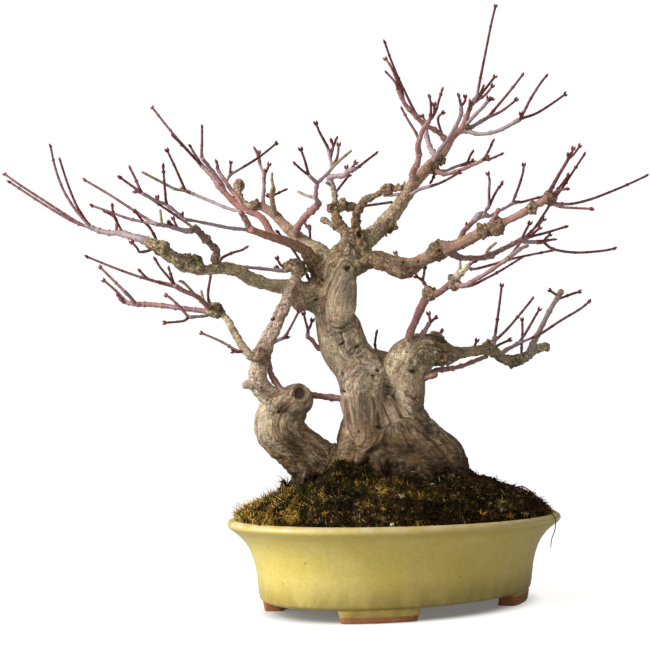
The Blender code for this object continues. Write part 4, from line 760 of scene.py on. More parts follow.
class Bark(Enum):
    """The finish of a length of wood: its colour at the root and at the tip, and how patchy it is.

    The last two values are how speckled and rough it is at the root and at the tip.
    """

    OLD = ("d0c2ac", "a8957a", 0.30, 0.30, 0.30)
    PALE = ("d4c8ae", "c6b89e", 0.30, 0.30, 0.30)
    GNARLED = ("b4a48a", "dccca8", 0.40, 0.25, 0.80)
    BLUSH = ("f2e0c6", "f0cebc", 0.20, 0.60, 0.70)
    OLIVE = ("98896c", "f0e0ba", 0.30, 0.40, 0.85)
    ROSY = ("ac9a72", "a87684", 0.40, 0.90, 0.15)
    TAWNY = ("ece0bc", "b88682", 0.15, 0.80, 0.35)
    SALMON = ("b07a78", "9c6468", 0.50, 0.50, 0.35)
    LILAC = ("9e8c98", "90707e", 0.35, 0.20, 0.10)
    MAUVE = ("94646a", "8c5862", 0.45, 0.40, 0.30)
    CRAGGY = ("c0ae88", "bc9c80", 0.50, 1.00, 1.00)
    CORAL = ("a89470", "c48c88", 0.40, 0.95, 0.15)
    RUSSET = ("8a6a54", "7e5c50", 0.50, 0.95, 0.80)
    GREY = ("988c8c", "90808a", 0.35, 0.20, 0.10)
    RED = ("7c3a46", "5e121e", 0.25, 0.05, 0.05)
    DEAD = ("a89476", "94805e", 0.50, 0.40, 0.40)

    def __init__(self, skin: str, tip: str, patches: float, speckles: float, tip_speckles: float) -> None:
        """Keeps the finish's values by name."""
        self.skin = linear(skin)
        self.tip = linear(tip)
        self.patches = patches
        self.speckles = speckles
        self.tip_speckles = tip_speckles

    def shade(self, outward: Array) -> Array:
        """Its colour at shares of the way from root to tip."""
        share = outward[:, None]
        return self.skin * (1 - share) + self.tip * share

    def speckled(self, outward: Array) -> Array:
        """How speckled it is at shares of the way from root to tip."""
        return self.speckles + outward * (self.tip_speckles - self.speckles)


# The wood


FACING = np.array([0.0, 1.0, 0.0])  # shoots' cross-sections are turned by this direction
UPRIGHT = np.array([0.0, 0.0, 1.0])


@dataclass(frozen=True)
class Sheet:
    """The front elevation that the tree is set out on, as an eye in front of the pot sees it."""

    pot: Array  # the pot's middle on the ground, in mm
    middle: float = 325.0
    square: float = 0.8
    sight: float = 1306.0
    ahead: float = 1058.0
    aside: float = -60.5
    height: float = 149.0
    pitch: float = math.radians(4.03)

    @property
    def eye(self) -> Array:
        """Where the eye is."""
        return self.pot + (self.aside, -self.ahead, self.height)

    def ways(self, sheet: Array) -> Array:
        """The direction of sight through each sheet point, 1 long in depth."""
        right = (sheet[:, 0] - self.middle) / self.sight
        up = (self.middle - sheet[:, 1]) / self.sight
        forward = math.cos(self.pitch) - up * math.sin(self.pitch)
        upward = math.sin(self.pitch) + up * math.cos(self.pitch)
        return np.column_stack([right / forward, np.ones(len(sheet)), upward / forward])

    def place(self, sheet: Array, depth: Array) -> Array:
        """Places sheet points in space, at their depths behind the pot's middle."""
        return self.eye + self.ways(sheet) * (self.ahead + depth)[:, None]

    def seen(self, points: Array) -> Array:
        """Where points in space are on the sheet."""
        x, y, z = (points - self.eye).T
        forward = y * math.cos(self.pitch) + z * math.sin(self.pitch)
        upward = z * math.cos(self.pitch) - y * math.sin(self.pitch)
        return self.middle + self.sight * np.column_stack([x / forward, -upward / forward])


class Path(NamedTuple):
    """A shoot in space: its points on the sheet, their depths, centres and radii, and where it roots."""

    sheet: Array
    depth: Array
    centre: Array
    radius: Array
    rooted: float


class Spine:
    """A path read off evenly, with the directions of its cross-sections."""

    def __init__(self, path: Path, step: float, facing: Array = FACING) -> None:
        """Reads the path off every so many mm."""
        rows = smooth(np.column_stack([path.centre, path.radius]), 8)
        self.along, rows = evenly(rows, step)
        self.centre, self.radius = rows[:, :3], rows[:, 3]
        self.tangent = unit(np.gradient(self.centre, axis=0))
        self.side = unit(np.cross(self.tangent, facing))
        self.lift = np.cross(self.tangent, self.side)
        self.rooted = path.rooted

    def cut(self, kept: Array) -> "Spine":
        """A copy with only the points kept."""
        part = copy(self)
        for name in ("along", "centre", "radius", "tangent", "side", "lift"):
            setattr(part, name, getattr(self, name)[kept])
        return part

    @property
    def length(self) -> float:
        """How long it is, in mm."""
        return float(self.along[-1])

    def rings(self, radius: Array, sides: int) -> Array:
        """Circles about the spine, of radius given for each point or for each point and side."""
        angle = np.linspace(0, 2 * math.pi, sides, endpoint=False)[:, None]
        round_about = self.side[:, None] * np.cos(angle) + self.lift[:, None] * np.sin(angle)
        reach = radius if radius.ndim == 2 else radius[:, None]
        return self.centre[:, None] + round_about * reach[..., None]

    def at(self, along: Array) -> tuple[Array, Array, Array, Array, Array]:
        """Centres, radii and the three directions at distances along it."""
        rows = np.column_stack([self.centre, self.radius, self.tangent, self.side, self.lift])
        read = np.column_stack([np.interp(along, self.along, column) for column in rows.T])
        return read[:, :3], read[:, 3], read[:, 4:7], read[:, 7:10], read[:, 10:]


class Skeleton:
    """The routes of all the wood, traced from the tables."""

    lean = 0.65  # the most depth that a free twig gains for its length
    root_sink = 5.0
    root_taper = 0.75
    root_setback = 8.0
    twig_widths = "3.0 2.6 2.2"
    stub_widths = "3.2 2.6"

    def __init__(self, sheet: Sheet) -> None:
        """Traces the limbs, then the branches, then the twigs and stubs."""
        self.sheet = sheet
        self.paths: dict[str, Path] = {}
        self.runs: dict[str, Array] = {}
        for shoot in LIMBS + FLARES + BRANCHES:
            self.trace(shoot)
        self.twigs = tuple(self.twig_shoots())
        for shoot in self.twigs:
            self.trace(shoot)

    def twig_shoots(self) -> Iterator[Shoot]:
        """Each twig and stub as a shoot of its own."""
        for table, bark, widths in ((TWIGS, "red", self.twig_widths), (STUBS, "dead", self.stub_widths)):
            for parent, routes in table.items():
                for number, route in enumerate(routes):
                    yield Shoot(f"{parent}_{bark}_{number}", parent, bark, widths, "", route)

    def nearest(self, path: Path, run: Array, point: Array) -> tuple[Array, float, float]:
        """Finds the place on a parent's route nearest to a sheet point, its depth and its distance along."""
        start, step = path.sheet[:-1], np.diff(path.sheet, axis=0)
        span = np.maximum(np.hypot(*step.T), 1e-6)
        beyond = np.append(np.cumsum(span[::-1])[::-1][1:], 0)
        furthest = np.clip(1 - (self.root_setback - beyond) / span, 0, 1)
        part = np.clip(((point - start) * step).sum(axis=1) / span ** 2, 0, furthest)
        foot = start + part[:, None] * step
        best = int(np.argmin(((foot - point) ** 2).sum(axis=1)))
        depth = path.depth[best] + part[best] * (path.depth[best + 1] - path.depth[best])
        return foot[best], depth, run[best] + part[best] * (run[best + 1] - run[best])

    def trace(self, shoot: Shoot) -> None:
        """Follows a shoot from its root, sunk to the middle of its parent, out to its tip."""
        sheet = np.array([[float(value) for value in pair.split(",")] for pair in shoot.route.split()])
        steps = np.linspace(0, 1, len(sheet))
        width = spread(shoot.widths, steps)
        if shoot.depths:
            depth = spread(shoot.depths, steps)
        else:
            length = np.append(0, np.cumsum(np.hypot(*np.diff(sheet, axis=0).T))) * self.sheet.square
            depth = length * self.lean * math.sin(0.9 * sheet[-1, 0] + 1.7 * sheet[-1, 1])
        rooted = 0.0
        if shoot.parent:
            parent = self.paths[shoot.parent]
            root, root_depth, rooted = self.nearest(parent, self.runs[shoot.parent], sheet[0])
            depth = depth + root_depth
            sunk = int(np.hypot(*(sheet[0] - root)) < self.root_sink)
            sheet = np.vstack([root, sheet[sunk:]])
            depth = np.append(root_depth, depth[sunk:])
            width = np.append(self.root_taper * width[0], width[sunk:])
        size = self.sheet.square / 2 * (self.sheet.ahead + depth) / self.sheet.ahead
        centre = self.sheet.place(sheet, depth)
        self.paths[shoot.name] = Path(sheet, depth, centre, width * size, rooted)
        run = np.append(0, np.cumsum(np.linalg.norm(np.diff(centre, axis=0), axis=1)))
        self.runs[shoot.name] = rooted + run


# Relief along the grain
FLUTES, RIDGES = Layer(1.35, 6.5, 3, 2), Layer(0.35, 2.4, 11, 2)
FISSURES, FINE_FISSURES = Seams(1.0, 5.5, 21, 0.16), Seams(0.30, 2.6, 31, 0.22)
# Relief of all the bark, of rugged limbs and of knots
SWELLS, LUMPS = Layer(0.8, 13.0, 7, 2), Layer(0.35, 4.5, 8)
CRAGS, BOSSES, KNOT_LUMPS = Layer(1.4, 3.6, 61, 2), Layer(1.6, 6.5, 63), Layer(2.0, 3.0, 75, 2)
# How rings sway along their limb
RING_SWAY = Layer(0.7, 18.0, 65)
# Relief at the foot: soil that clings, and folds
CLODS, CRUMBS, FOLDS = Layer(1.2, 4.0, 67, 2), Layer(0.5, 1.7, 69), Layer(1.0, 3.2, 83, 2)
SOIL_BAND = Band(99, 119, Layer(7, 9.0, 41, 2))
FOLD_BAND = Band(112, 146, Layer(12, 10.0, 85))
# Bands that change the bark's colour: darker near the ground at the front, darker and browner towards the ground,
# and yellower high up.
LOW_FRONT_BAND = Band(112, 150, Layer(9, 9.0, 47), (0.55, 0.62, 0.68))
BROWN_BAND = Band(106, 218, Layer(9, 14.0, 43, 2), (0.48, 0.55, 0.62))
HIGH_BAND = Band(236, 290, Layer(8, 14.0, 45), (0.10, 0.14, 0.22))
# A surface root, from the flare outwards: share of the pad's reach, height, radius
ROOT_SECTION = ((0.50, 122, 9), (0.66, 115, 8.5), (0.82, 107, 6.5), (0.95, 101, 4.8), (1.06, 96, 3.6),
                (1.16, 88, 2.4))


@dataclass
class OldWood:
    """The root pad, the trunk and the limbs, grown into one skin with bark relief."""

    skeleton: Skeleton
    pad: Array  # the middle of the root pad, in mm
    voxel: float = 1.08
    ease: int = 4
    sides: int = 26
    blend: float = 2.5  # mm over which one limb's grain turns to the next one's at a fork
    stretch: float = 6.0  # how much longer than wide the grain's pattern is
    surface_roots: int = 11
    burl: float = 10.5  # knobs of at least this radius, in squares, have the bark around them
    pad_dip: float = 12.0  # how much deeper the pad's left end lies
    ring_spacing: float = 10.0
    ring_colour: str = "ac9c78"
    fold_pull: tuple[float, float, float] = (0.3, 0.3, 1.0)  # makes the folds at the foot longer than high
    kept_faces: float = 0.60  # the share of the skin's faces that keeps it under 200,000 triangles

    def rough_form(self) -> bpy.types.Object:
        """Puts a tube along each limb, the knobs, the pad and the surface roots in one mesh, overlapping."""
        skin = Skin()
        for shoot in LIMBS + FLARES:
            spine = Spine(self.skeleton.paths[shoot.name], 2.5)
            skin.add_tube(spine.rings(spine.radius, self.sides), spine.centre[0], spine.centre[-1])
        for knob in KNOBS:
            self.add_knob(skin, *knob)
        self.add_pad(skin)
        self.add_surface_roots(skin)
        return skin.build("old_wood")

    def knob_middle(self, owner: str, x: float, y: float, proud: float) -> Array:
        """Places a knob in space, so many mm in front of its shoot's middle."""
        point = np.array([[x, y]])
        _, depth, _ = self.skeleton.nearest(self.skeleton.paths[owner], self.skeleton.runs[owner], point[0])
        return self.skeleton.sheet.place(point, np.array([depth - proud]))[0]

    def add_knob(self, skin: Skin, owner: str, x: float, y: float, size: float, proud: float) -> None:
        """Adds a ball of wood: circles stacked from pole to pole."""
        centre = self.knob_middle(owner, x, y, proud)
        height = np.linspace(-1, 1, 13)[1:-1]
        angle = np.linspace(0, 2 * math.pi, 20, endpoint=False)
        wide = np.sqrt(1 - height ** 2)[:, None]
        level = np.broadcast_to(height[:, None], (len(height), len(angle)))
        ball = np.stack([wide * np.cos(angle), wide * np.sin(angle), level], axis=-1)
        radius = size * self.skeleton.sheet.square
        pole = np.array([0, 0, radius])
        skin.add_tube(centre + ball * radius, centre - pole, centre + pole)

    def add_pad(self, skin: Skin) -> None:
        """Adds the root pad: an oval loft whose rim has low lobes, sunk in the soil."""
        angle = np.linspace(0, 2 * math.pi, 72, endpoint=False)
        section = np.array(PAD_SECTION)
        reach = pad_radius(angle)[None, :] * section[:, :1]
        level = np.broadcast_to(section[:, 1:], reach.shape)
        rings = np.stack([reach * np.cos(angle), reach * np.sin(angle), level], axis=-1) + self.pad
        rings[..., 2] -= self.pad_dip * (1 - rise(-74, -44, rings[..., 0] - self.pad[0]))
        ends = np.array([[0, 0, PAD_SECTION[0][1]], [0, 0, PAD_SECTION[-1][1]]]) + self.pad
        skin.add_tube(rings, ends[0], ends[1])

    def add_surface_roots(self, skin: Skin) -> None:
        """Adds roots that run down the flare and out into the soil, each a bent, tapered tube."""
        draw = np.random.default_rng(5)
        for number in range(self.surface_roots):
            angle = 2 * math.pi * (number + draw.uniform(-0.3, 0.3)) / self.surface_roots
            sway = draw.uniform(-0.16, 0.16)
            share, level, radius = np.array(ROOT_SECTION).T
            level = level + draw.uniform(-2, 2)
            turn = angle + sway * (share - 0.5) ** 2 * 4
            reach = pad_radius(turn) * share
            centre = np.column_stack([reach * np.cos(turn), reach * np.sin(turn), level]) + self.pad
            radius = radius * draw.uniform(0.7, 1.15)
            route = Path(centre[:, :2], centre[:, 1], centre, radius, 0.0)
            spine = Spine(route, 3.0, UPRIGHT)
            skin.add_tube(spine.rings(spine.radius, 14), spine.centre[0], spine.centre[-1])

    def grow(self) -> bpy.types.Object:
        """Grows the rough form into one skin, then gives it its relief and colours."""
        wood = self.rough_form()
        skin = wood.modifiers.new("Skin", "REMESH")
        skin.mode = "VOXEL"
        skin.voxel_size = self.voxel * MM
        ease = wood.modifiers.new("Ease", "SMOOTH")
        ease.factor = 0.5
        ease.iterations = self.ease
        bake_modifiers(wood)
        keep_outer_skin(wood)
        points, normals = mesh_points(wood.data), mesh_normals(wood.data)
        grain, radius, tint, habit = self.follow(points)
        knots = self.knots(points)
        habit[:, 1] = np.maximum(habit[:, 1], 0.95 * knots)
        rugged = rise(0.4, 0.9, habit[:, 1])
        relief, collar = self.relief(points, grain, radius, rugged)
        marked, marks = self.marks(wood, points, normals)
        marks[:, 2] = self.soiling(points)
        relief += marks[:, 2] ** 2 * (CLODS.at(points) + CRUMBS.at(points))
        relief += knots * KNOT_LUMPS.at(points)
        relief += (1 - FOLD_BAND.over(points)) * FOLDS.at(points * self.fold_pull)
        tint = self.tint_with_painted_shade(points, tint, np.maximum(collar, knots))
        points = points + normals * (relief + marked)[:, None]
        wood.data.vertices.foreach_set("co", (points * MM).ravel())
        for title, values in (("grain", grain), ("tint", tint), ("habit", habit), ("marks", marks)):
            layer = wood.data.attributes.new(title, "FLOAT_VECTOR", "POINT")
            layer.data.foreach_set("vector", values.astype(np.float32).ravel())
        wood.data.update()
        wood.data.shade_smooth()
        return wood

    def follow(self, points: Array) -> tuple[Array, Array, Array, Array]:
        """Works out which way the wood runs at each point.

        Each limb gives a point its distance along that limb and its direction about it. The values of the limbs
        whose bark is nearest are mixed, by e to the power of minus the extra distance over the blend.

        Args:
            points: the skin's points.

        Returns:
            The grain's coordinates, the limb's radius, the bark's colour, and how patchy and speckled it is.
        """
        spines = [Spine(self.skeleton.paths[shoot.name], 2.0) for shoot in LIMBS + FLARES]
        gaps, nearest = zip(*(self.nearest_ring(points, spine) for spine in spines))
        gap = np.stack(gaps, axis=1)
        weight = np.exp(-(gap - gap.min(axis=1, keepdims=True)) / self.blend)
        weight /= weight.sum(axis=1, keepdims=True)
        grain, tint, habit = (np.zeros((len(points), 3)) for _ in range(3))
        radius = np.zeros(len(points))
        for spine, index, share, shoot in zip(spines, nearest, weight.T, LIMBS + FLARES):
            offset = points - spine.centre[index]
            along = (offset * spine.tangent[index]).sum(axis=1)
            offset = unit(offset - along[:, None] * spine.tangent[index])
            spread_out = 6 + 0.42 * spine.radius[index]
            across = (offset * spine.side[index]).sum(axis=1) * spread_out
            above = (offset * spine.lift[index]).sum(axis=1) * spread_out
            run = (spine.rooted + spine.along[index] + along) / self.stretch
            grain += share[:, None] * np.column_stack([run, across, above])
            radius += share * spine.radius[index]
            bark = Bark[shoot.bark.upper()]
            outward = np.clip(spine.along[index] / max(spine.length, 1), 0, 1)
            tint += share[:, None] * bark.shade(outward)
            habit[:, 0] += share * bark.patches
            habit[:, 1] += share * bark.speckled(outward)
        habit[:, 2] = radius
        return grain, radius, tint, habit

    def nearest_ring(self, points: Array, spine: Spine) -> tuple[Array, Array]:
        """For each point, the least distance to a spine's bark and the spine point that it is nearest to."""
        gap = np.empty(len(points))
        index = np.empty(len(points), int)
        block = 20000
        for start in range(0, len(points), block):
            part = points[start:start + block].astype(np.float32)
            away = np.linalg.norm(part[:, None] - spine.centre[None].astype(np.float32), axis=2)
            away -= spine.radius[None].astype(np.float32)
            index[start:start + block] = away.argmin(axis=1)
            gap[start:start + block] = away.min(axis=1)
        return gap, index

    def relief(self, points: Array, grain: Array, radius: Array, rugged: Array) -> tuple[Array, Array]:
        """Height of the bark.

        Flutes and lumps are noise, less where wood is thin. Fissures and finer ones are cut where noise passes
        zero. Rugged limbs have lumps of their own and rings at uneven distances: a power of a sine along them.

        Args:
            points: the skin's points.
            grain: their distances along and about the limb.
            radius: the limb's radius at each.
            rugged: how rough its bark is, from 0 to 1.

        Returns:
            The height in mm, and where the rings of rugged limbs are, from 0 to 1.
        """
        size = np.clip(radius / 20, 0.22, 1.3)
        lumps = SWELLS.at(points) + LUMPS.at(points)
        fissures = FISSURES.at(grain) * rise(-0.25, 0.35, noise(points / 17.0, 5))
        knobbly = CRAGS.at(points) + np.maximum(BOSSES.at(points), 0)
        along = grain[:, 0] * self.stretch / self.ring_spacing + RING_SWAY.at(points)
        rings = np.clip(np.sin(along * 2 * math.pi), 0, 1) ** 7 * rise(-0.5, 0.3, noise(points / 6.0, 66))
        banded = np.maximum(rugged, 0.5 * (1 - rise(5.5, 8.0, radius)))
        cut = RIDGES.at(grain) + fissures + FINE_FISSURES.at(grain)
        height = (size * (FLUTES.at(grain) + lumps) + np.clip(size, 0.4, 1) * cut
                  + (rugged * knobbly + 1.1 * banded * rings) * np.clip(radius / 4.5, 0.5, 1))
        return height, banded * rings

    def knots(self, points: Array) -> Array:
        """How near each point is to a small knob, from 0 to 1."""
        near = np.zeros(len(points))
        for owner, x, y, size, proud in KNOBS:
            if size < self.burl:
                radius = size * self.skeleton.sheet.square
                away = np.linalg.norm(points - self.knob_middle(owner, x, y, proud), axis=1)
                near = np.maximum(near, 1 - rise(0.8 * radius, 1.5 * radius, away))
        return near

    def tint_with_painted_shade(self, points: Array, tint: Array, collar: Array) -> Array:
        """Colours the bark: tan on its rings, painted shade in the dips of knots, browner towards the ground, and
        painted shade at the right, away from the light.
        """
        tint = tint + collar[:, None] * 0.7 * (linear(self.ring_colour) - tint)
        # Painted shade: darker where the lumps on knots dip.
        tint = tint * (1 - 0.6 * collar * rise(0.0, 0.9, -KNOT_LUMPS.at(points)))[:, None]
        across = points[:, 0] - self.pad[0]
        # Darker and browner towards the ground; the band climbs 25 mm higher at the right, painted shade on the
        # side away from the light, and drops at the far left.
        low = 1 - BROWN_BAND.over(points, 25 * rise(0, 60, across) - 42 * (1 - rise(-100, -80, across)))
        # Darker near the ground at the front of the root pad.
        low_front = hill(across - 12, 50) * self.in_front(points) * (1 - LOW_FRONT_BAND.over(points))
        for share, band in ((low_front, LOW_FRONT_BAND), (low, BROWN_BAND), (HIGH_BAND.over(points), HIGH_BAND)):
            tint = tint * (1 - share[:, None] * band.loss)
        return tint

    def in_front(self, points: Array) -> Array:
        """How far to the front of the root pad's middle each point is, from 0 to 1."""
        return 1 - rise(-60, 20, points[:, 1] - self.pad[1])

    def marks(self, wood: bpy.types.Object, points: Array, normals: Array) -> tuple[Array, Array]:
        """Cuts the named features into the bark that faces the eye.

        Args:
            wood: the skin, which lines of sight are cast on to find each feature's place.
            points: its points.
            normals: their outward directions.

        Returns:
            Their relief in mm, and in columns how dark each point is painted, as painted shade in pits, creases,
            hollows and wrinkle troughs, and how much like cut wood it is.
        """
        sheet = self.skeleton.sheet
        graph = bpy.context.evaluated_depsgraph_get()
        tree = BVHTree.FromObject(wood, graph)
        seen = sheet.seen(points)
        relief, paint = np.zeros(len(points)), np.zeros((len(points), 3))
        facing = rise(-0.1, 0.3, -(normals * unit(points - sheet.eye)).sum(axis=1))
        for mark in MARKS:
            way = sheet.ways(np.array([[mark.x, mark.y]]))[0]
            hit = tree.ray_cast(Vector(sheet.eye * MM), Vector(way).normalized())[0]
            if hit is None:
                log.warning("no bark under the mark at %s, %s", mark.x, mark.y)
                continue
            turn = math.radians(mark.turn)
            right, down = (seen - (mark.x, mark.y)).T
            across = (right * math.cos(turn) + down * math.sin(turn)) / mark.across
            along = (down * math.cos(turn) - right * math.sin(turn)) / mark.down
            near = np.linalg.norm(points - np.array(hit) / MM, axis=1)
            reach = 2.2 * max(mark.across, mark.down) * sheet.square
            share = facing * (1 - rise(0.7 * reach, reach, near))
            height, hole, heart = self.mark_form(mark.kind, across, along)
            relief += share * height * mark.relief
            # The first column is painted shade: darkness laid where the features sink.
            paint[:, 0] = np.maximum(paint[:, 0], share * hole)
            paint[:, 1] = np.maximum(paint[:, 1], share * heart)
        return relief, paint

    def mark_form(self, kind: MarkKind, across: Array, along: Array) -> tuple[Array, Array, Array]:
        """A feature's height, darkness and cut wood at offsets in its own half sizes.

        A pit and a hollow are bell curves down, a crease is one that wanders across its length. A cut is a flat
        disc sunk in a ring. A whorl and a scar are rings that die away, with brown wood in a scar. A wrinkle is
        waves down the bark that die away.

        Args:
            kind: what the feature looks like.
            across: how far each point is to its right.
            along: how far each point is below it.

        Returns:
            For each point its height, how dark it is painted (painted shade in a pit, a crease, a hollow and a
            wrinkle's troughs) and how much like cut wood.
        """
        out = np.hypot(across, along)
        plain = np.zeros(len(out))
        if kind is MarkKind.CREASE:
            wander = along + 0.8 * np.sin(across * 4.1) + 0.5 * np.sin(across * 9.7 + 1)
            fade = 1 - rise(0.55, 1.0, np.abs(across))
            # Painted shade along the crease's groove.
            return -fade * hill(wander, 1.0), fade * 0.75 * hill(wander, 0.75), plain
        if kind is MarkKind.PIT:
            lip = 0.3 * hill(out - 1.3, 0.35)
            # Painted shade in the pit.
            return lip - hill(out, 0.95), 1 - rise(0.55, 1.15, out), plain
        if kind is MarkKind.CUT:
            ring = 0.9 * hill(out - 1.08, 0.28) - 0.7 * (1 - rise(0.6, 0.9, out))
            return ring, 0.5 * hill(out - 0.86, 0.12), 1 - rise(0.62, 0.98, out)
        if kind in (MarkKind.WHORL, MarkKind.SCAR):
            waves = np.cos(out * 2 * math.pi * 1.7) * hill(out, 0.9)
            brown = 0.0 if kind is MarkKind.WHORL else 0.42
            eye = 0.6 * (1 - rise(0.12, 0.3, out))
            return waves - 0.9 * hill(out, 0.22), eye, brown * (1 - rise(0.6, 1.0, out))
        if kind is MarkKind.HOLLOW:
            # Painted shade over the hollow.
            return -hill(out, 0.8), 0.72 * hill(out, 0.8), plain
        bowed = along + 0.55 * across ** 2
        waves = np.sin(bowed * 2 * math.pi * 1.5 + 0.5 * np.sin(across * 3.1)) * hill(out, 0.8)
        # Painted shade in the troughs of the wrinkle.
        return waves, 0.7 * rise(0.25, 0.75, -waves), plain

    def soiling(self, points: Array) -> Array:
        """How stained with soil the bark is: full at the ground, none a little above, ragged between."""
        hollow = hill(points[:, 0] - self.pad[0] - 8, 34)
        return 1 - SOIL_BAND.over(points, (3 + 9 * hollow) * self.in_front(points))


# Relief of young bark, as shares of its radius: two layers on all of it, one on craggy bark, one on rings
PORES, FINE_PORES = Layer(0.11, 2.6, 51, 2), Layer(0.07, 1.2, 53)
BUMPS, RING_LUMPS = Layer(0.3, 4.2, 57), Layer(0.22, 1.5, 55)
# A bud from its root up: share of its length, share of its width
BUD_SECTION = ((0.0, 0.55), (0.14, 0.92), (0.32, 1.0), (0.5, 0.92), (0.68, 0.7), (0.84, 0.4), (0.95, 0.16))
BUD_TINTS = ("7c3a34", "7a2c30", "5e1e22", "4a161c")


@dataclass
class YoungWood:
    """Branches, twigs and buds, swept along their routes."""

    skeleton: Skeleton
    draw: np.random.Generator
    bud_length: float = 4.0
    bud_width: float = 2.2
    branch_spacing: float = 11.0  # from node to node
    twig_spacing: float = 9.5

    def nodes_of(self, length: float, spacing: float) -> Array:
        """Distances along a shoot of its nodes, uneven by up to a fifth of the spacing."""
        count = max(int(length / spacing), 1)
        even = (np.arange(count) + 0.75) * length / (count + 0.4)
        return even + self.draw.uniform(-0.2, 0.2, count) * length / count

    def branches(self) -> bpy.types.Object:
        """Sweeps the branches.

        Radius is the route's, swollen at the root and by a ring at each node, uneven by noise, and rounded off
        at the tip.
        """
        skin = Skin()
        for shoot in BRANCHES:
            spine = Spine(self.skeleton.paths[shoot.name], 0.9)
            bark = Bark[shoot.bark.upper()]
            sides = 14 if spine.radius.mean() > 2.0 else 10
            nodes = self.nodes_of(spine.length, self.branch_spacing)
            apart = spine.along[:, None] - nodes[None, :]
            ring = hill(apart, 1.2).sum(axis=1)
            root = 0.45 * np.exp(-spine.along / (2.2 * spine.radius[0]))
            end = 0.18 * hill(spine.along - spine.length + 1.5, 2.5)
            shape = spine.rings(np.full(len(spine.along), 1.0), sides)
            craggy = bark.speckles ** 2
            rough = (PORES.at(shape) + FINE_PORES.at(shape)) * (0.5 + 2.7 * craggy) + craggy * BUMPS.at(shape)
            lumps = ring[:, None] * (0.24 + RING_LUMPS.at(shape))
            radius = spine.radius[:, None] * (1 + root[:, None] + end[:, None] + lumps + rough)
            radius *= self.tip_round(spine)[:, None]
            outward = spine.along / spine.length
            age = np.clip(ring * 0.8, 0, 0.7)[:, None]
            tint = bark.shade(outward) * (1 - age) + Bark.CRAGGY.tip * age
            rings = spine.rings(radius, sides)
            self.sweep(skin, spine, rings, tint, bark.patches, bark.speckled(outward), ring)
        return skin.build("branches")

    def sweep(self, skin: Skin, spine: Spine, rings: Array, tint: Array, *habit: float | Array) -> None:
        """Adds a shoot's tube.

        Args:
            skin: what it is added to.
            spine: its spine.
            rings: its circles.
            tint: its colour at each.
            habit: how patchy, how speckled and how near a node each is.
        """
        values = np.column_stack(np.broadcast_arrays(*habit))
        skin.add_tube(rings, spine.centre[0], rings[-1].mean(axis=0), tint=tint, habit=values)

    def tip_round(self, spine: Spine) -> Array:
        """Draws a shoot's last stretch in to a rounded end: a quarter of an ellipse."""
        left = (spine.length - spine.along) / (1.2 * spine.radius[-1])
        return np.sqrt(np.clip(1 - np.clip(1 - left, 0, 0.995) ** 2, 0, 1))

    def twigs(self) -> tuple[bpy.types.Object, bpy.types.Object]:
        """Sweeps the twigs and stubs, with a swelling at each node, and puts the buds in their own piece."""
        wood, buds = Skin(), Skin()
        for shoot in self.skeleton.twigs:
            spine = Spine(self.skeleton.paths[shoot.name], 0.8)
            bark = Bark[shoot.bark.upper()]
            nodes = self.nodes_of(spine.length, self.twig_spacing)
            ring = hill(spine.along[:, None] - nodes[None, :], 0.7).sum(axis=1)
            root = 0.7 * np.exp(-spine.along / 2.2)
            radius = spine.radius * (1 + root + 0.16 * ring)
            live = shoot.bark == "red"
            if live:
                bare = spine.along < max(spine.length - self.bud_length * 0.62, 1.5)
                spine = spine.cut(bare)
                ring, radius = ring[bare], radius[bare]
            else:
                radius = radius * self.tip_round(spine)
            outward = rise(0.0, self.draw.uniform(0.10, 0.35), spine.along / spine.length)[:, None]
            pale = Bark.LILAC.skin if live else bark.skin
            tint = pale * (1 - outward) + bark.tip * outward
            tint = tint * (1 - 0.3 * np.clip(ring, 0, 1)[:, None])
            self.sweep(wood, spine, spine.rings(radius, 8), tint, bark.patches, 0.1, ring)
            if live:
                self.add_buds(buds, spine, nodes)
        return wood.build("twigs"), buds.build("buds")

    def add_buds(self, skin: Skin, spine: Spine, nodes: Array) -> None:
        """Adds large buds in a pair at a twig's end and small pairs at its nodes, each turned on the last."""
        nodes = nodes[(nodes > 5) & (nodes < spine.length - 4)]
        nodes = nodes[self.draw.random(len(nodes)) < 0.55]
        along = np.append(nodes, spine.length - 0.4)
        size = np.append(self.draw.uniform(0.35, 0.6, len(nodes)), self.draw.uniform(0.85, 1.1))
        centre, radius, tangent, side, lift = spine.at(along)
        turn = np.arange(len(along)) * math.pi / 2 + self.draw.uniform(-0.5, 0.5)
        last = np.arange(len(along)) == len(along) - 1
        opened = np.where(last, self.draw.uniform(0.10, 0.26), 0.35)[:, None]
        for way in (-1, 1):
            outward = (side * np.cos(turn)[:, None] + lift * np.sin(turn)[:, None]) * way
            self.add_bud(skin, centre + outward * radius[:, None] * 0.7, tangent + outward * opened, size)

    def add_bud(self, skin: Skin, roots: Array, ways: Array, size: Array) -> None:
        """Adds pointed buds: circles whose radius rises fast from the root, then falls to a point."""
        ways = unit(ways)
        side = unit(np.cross(ways, FACING + 0.17))
        lift = np.cross(ways, side)
        share, plump = np.array(BUD_SECTION).T
        angle = np.linspace(0, 2 * math.pi, 8, endpoint=False)[:, None]
        tints = [linear(tint) for tint in BUD_TINTS]
        for root, way, across, above, large in zip(roots, ways, side, lift, size):
            length, width = self.bud_length * large, self.bud_width * large
            ring = across * np.cos(angle) + above * np.sin(angle)
            reach = (plump * width / 2)[:, None, None]
            rings = root + way * length * share[:, None, None] + ring[None] * reach
            tint = tints[self.draw.integers(len(tints))] * (1.25 - 0.5 * share[:, None])
            skin.add_tube(rings, root, root + way * length, tint=tint, habit=np.outer(share, (0, 0, 1)))


# The pot and the ground in it


POT_TURN = math.radians(43)
POT_HALF_LENGTH, POT_HALF_WIDTH = 155.0, 108.0
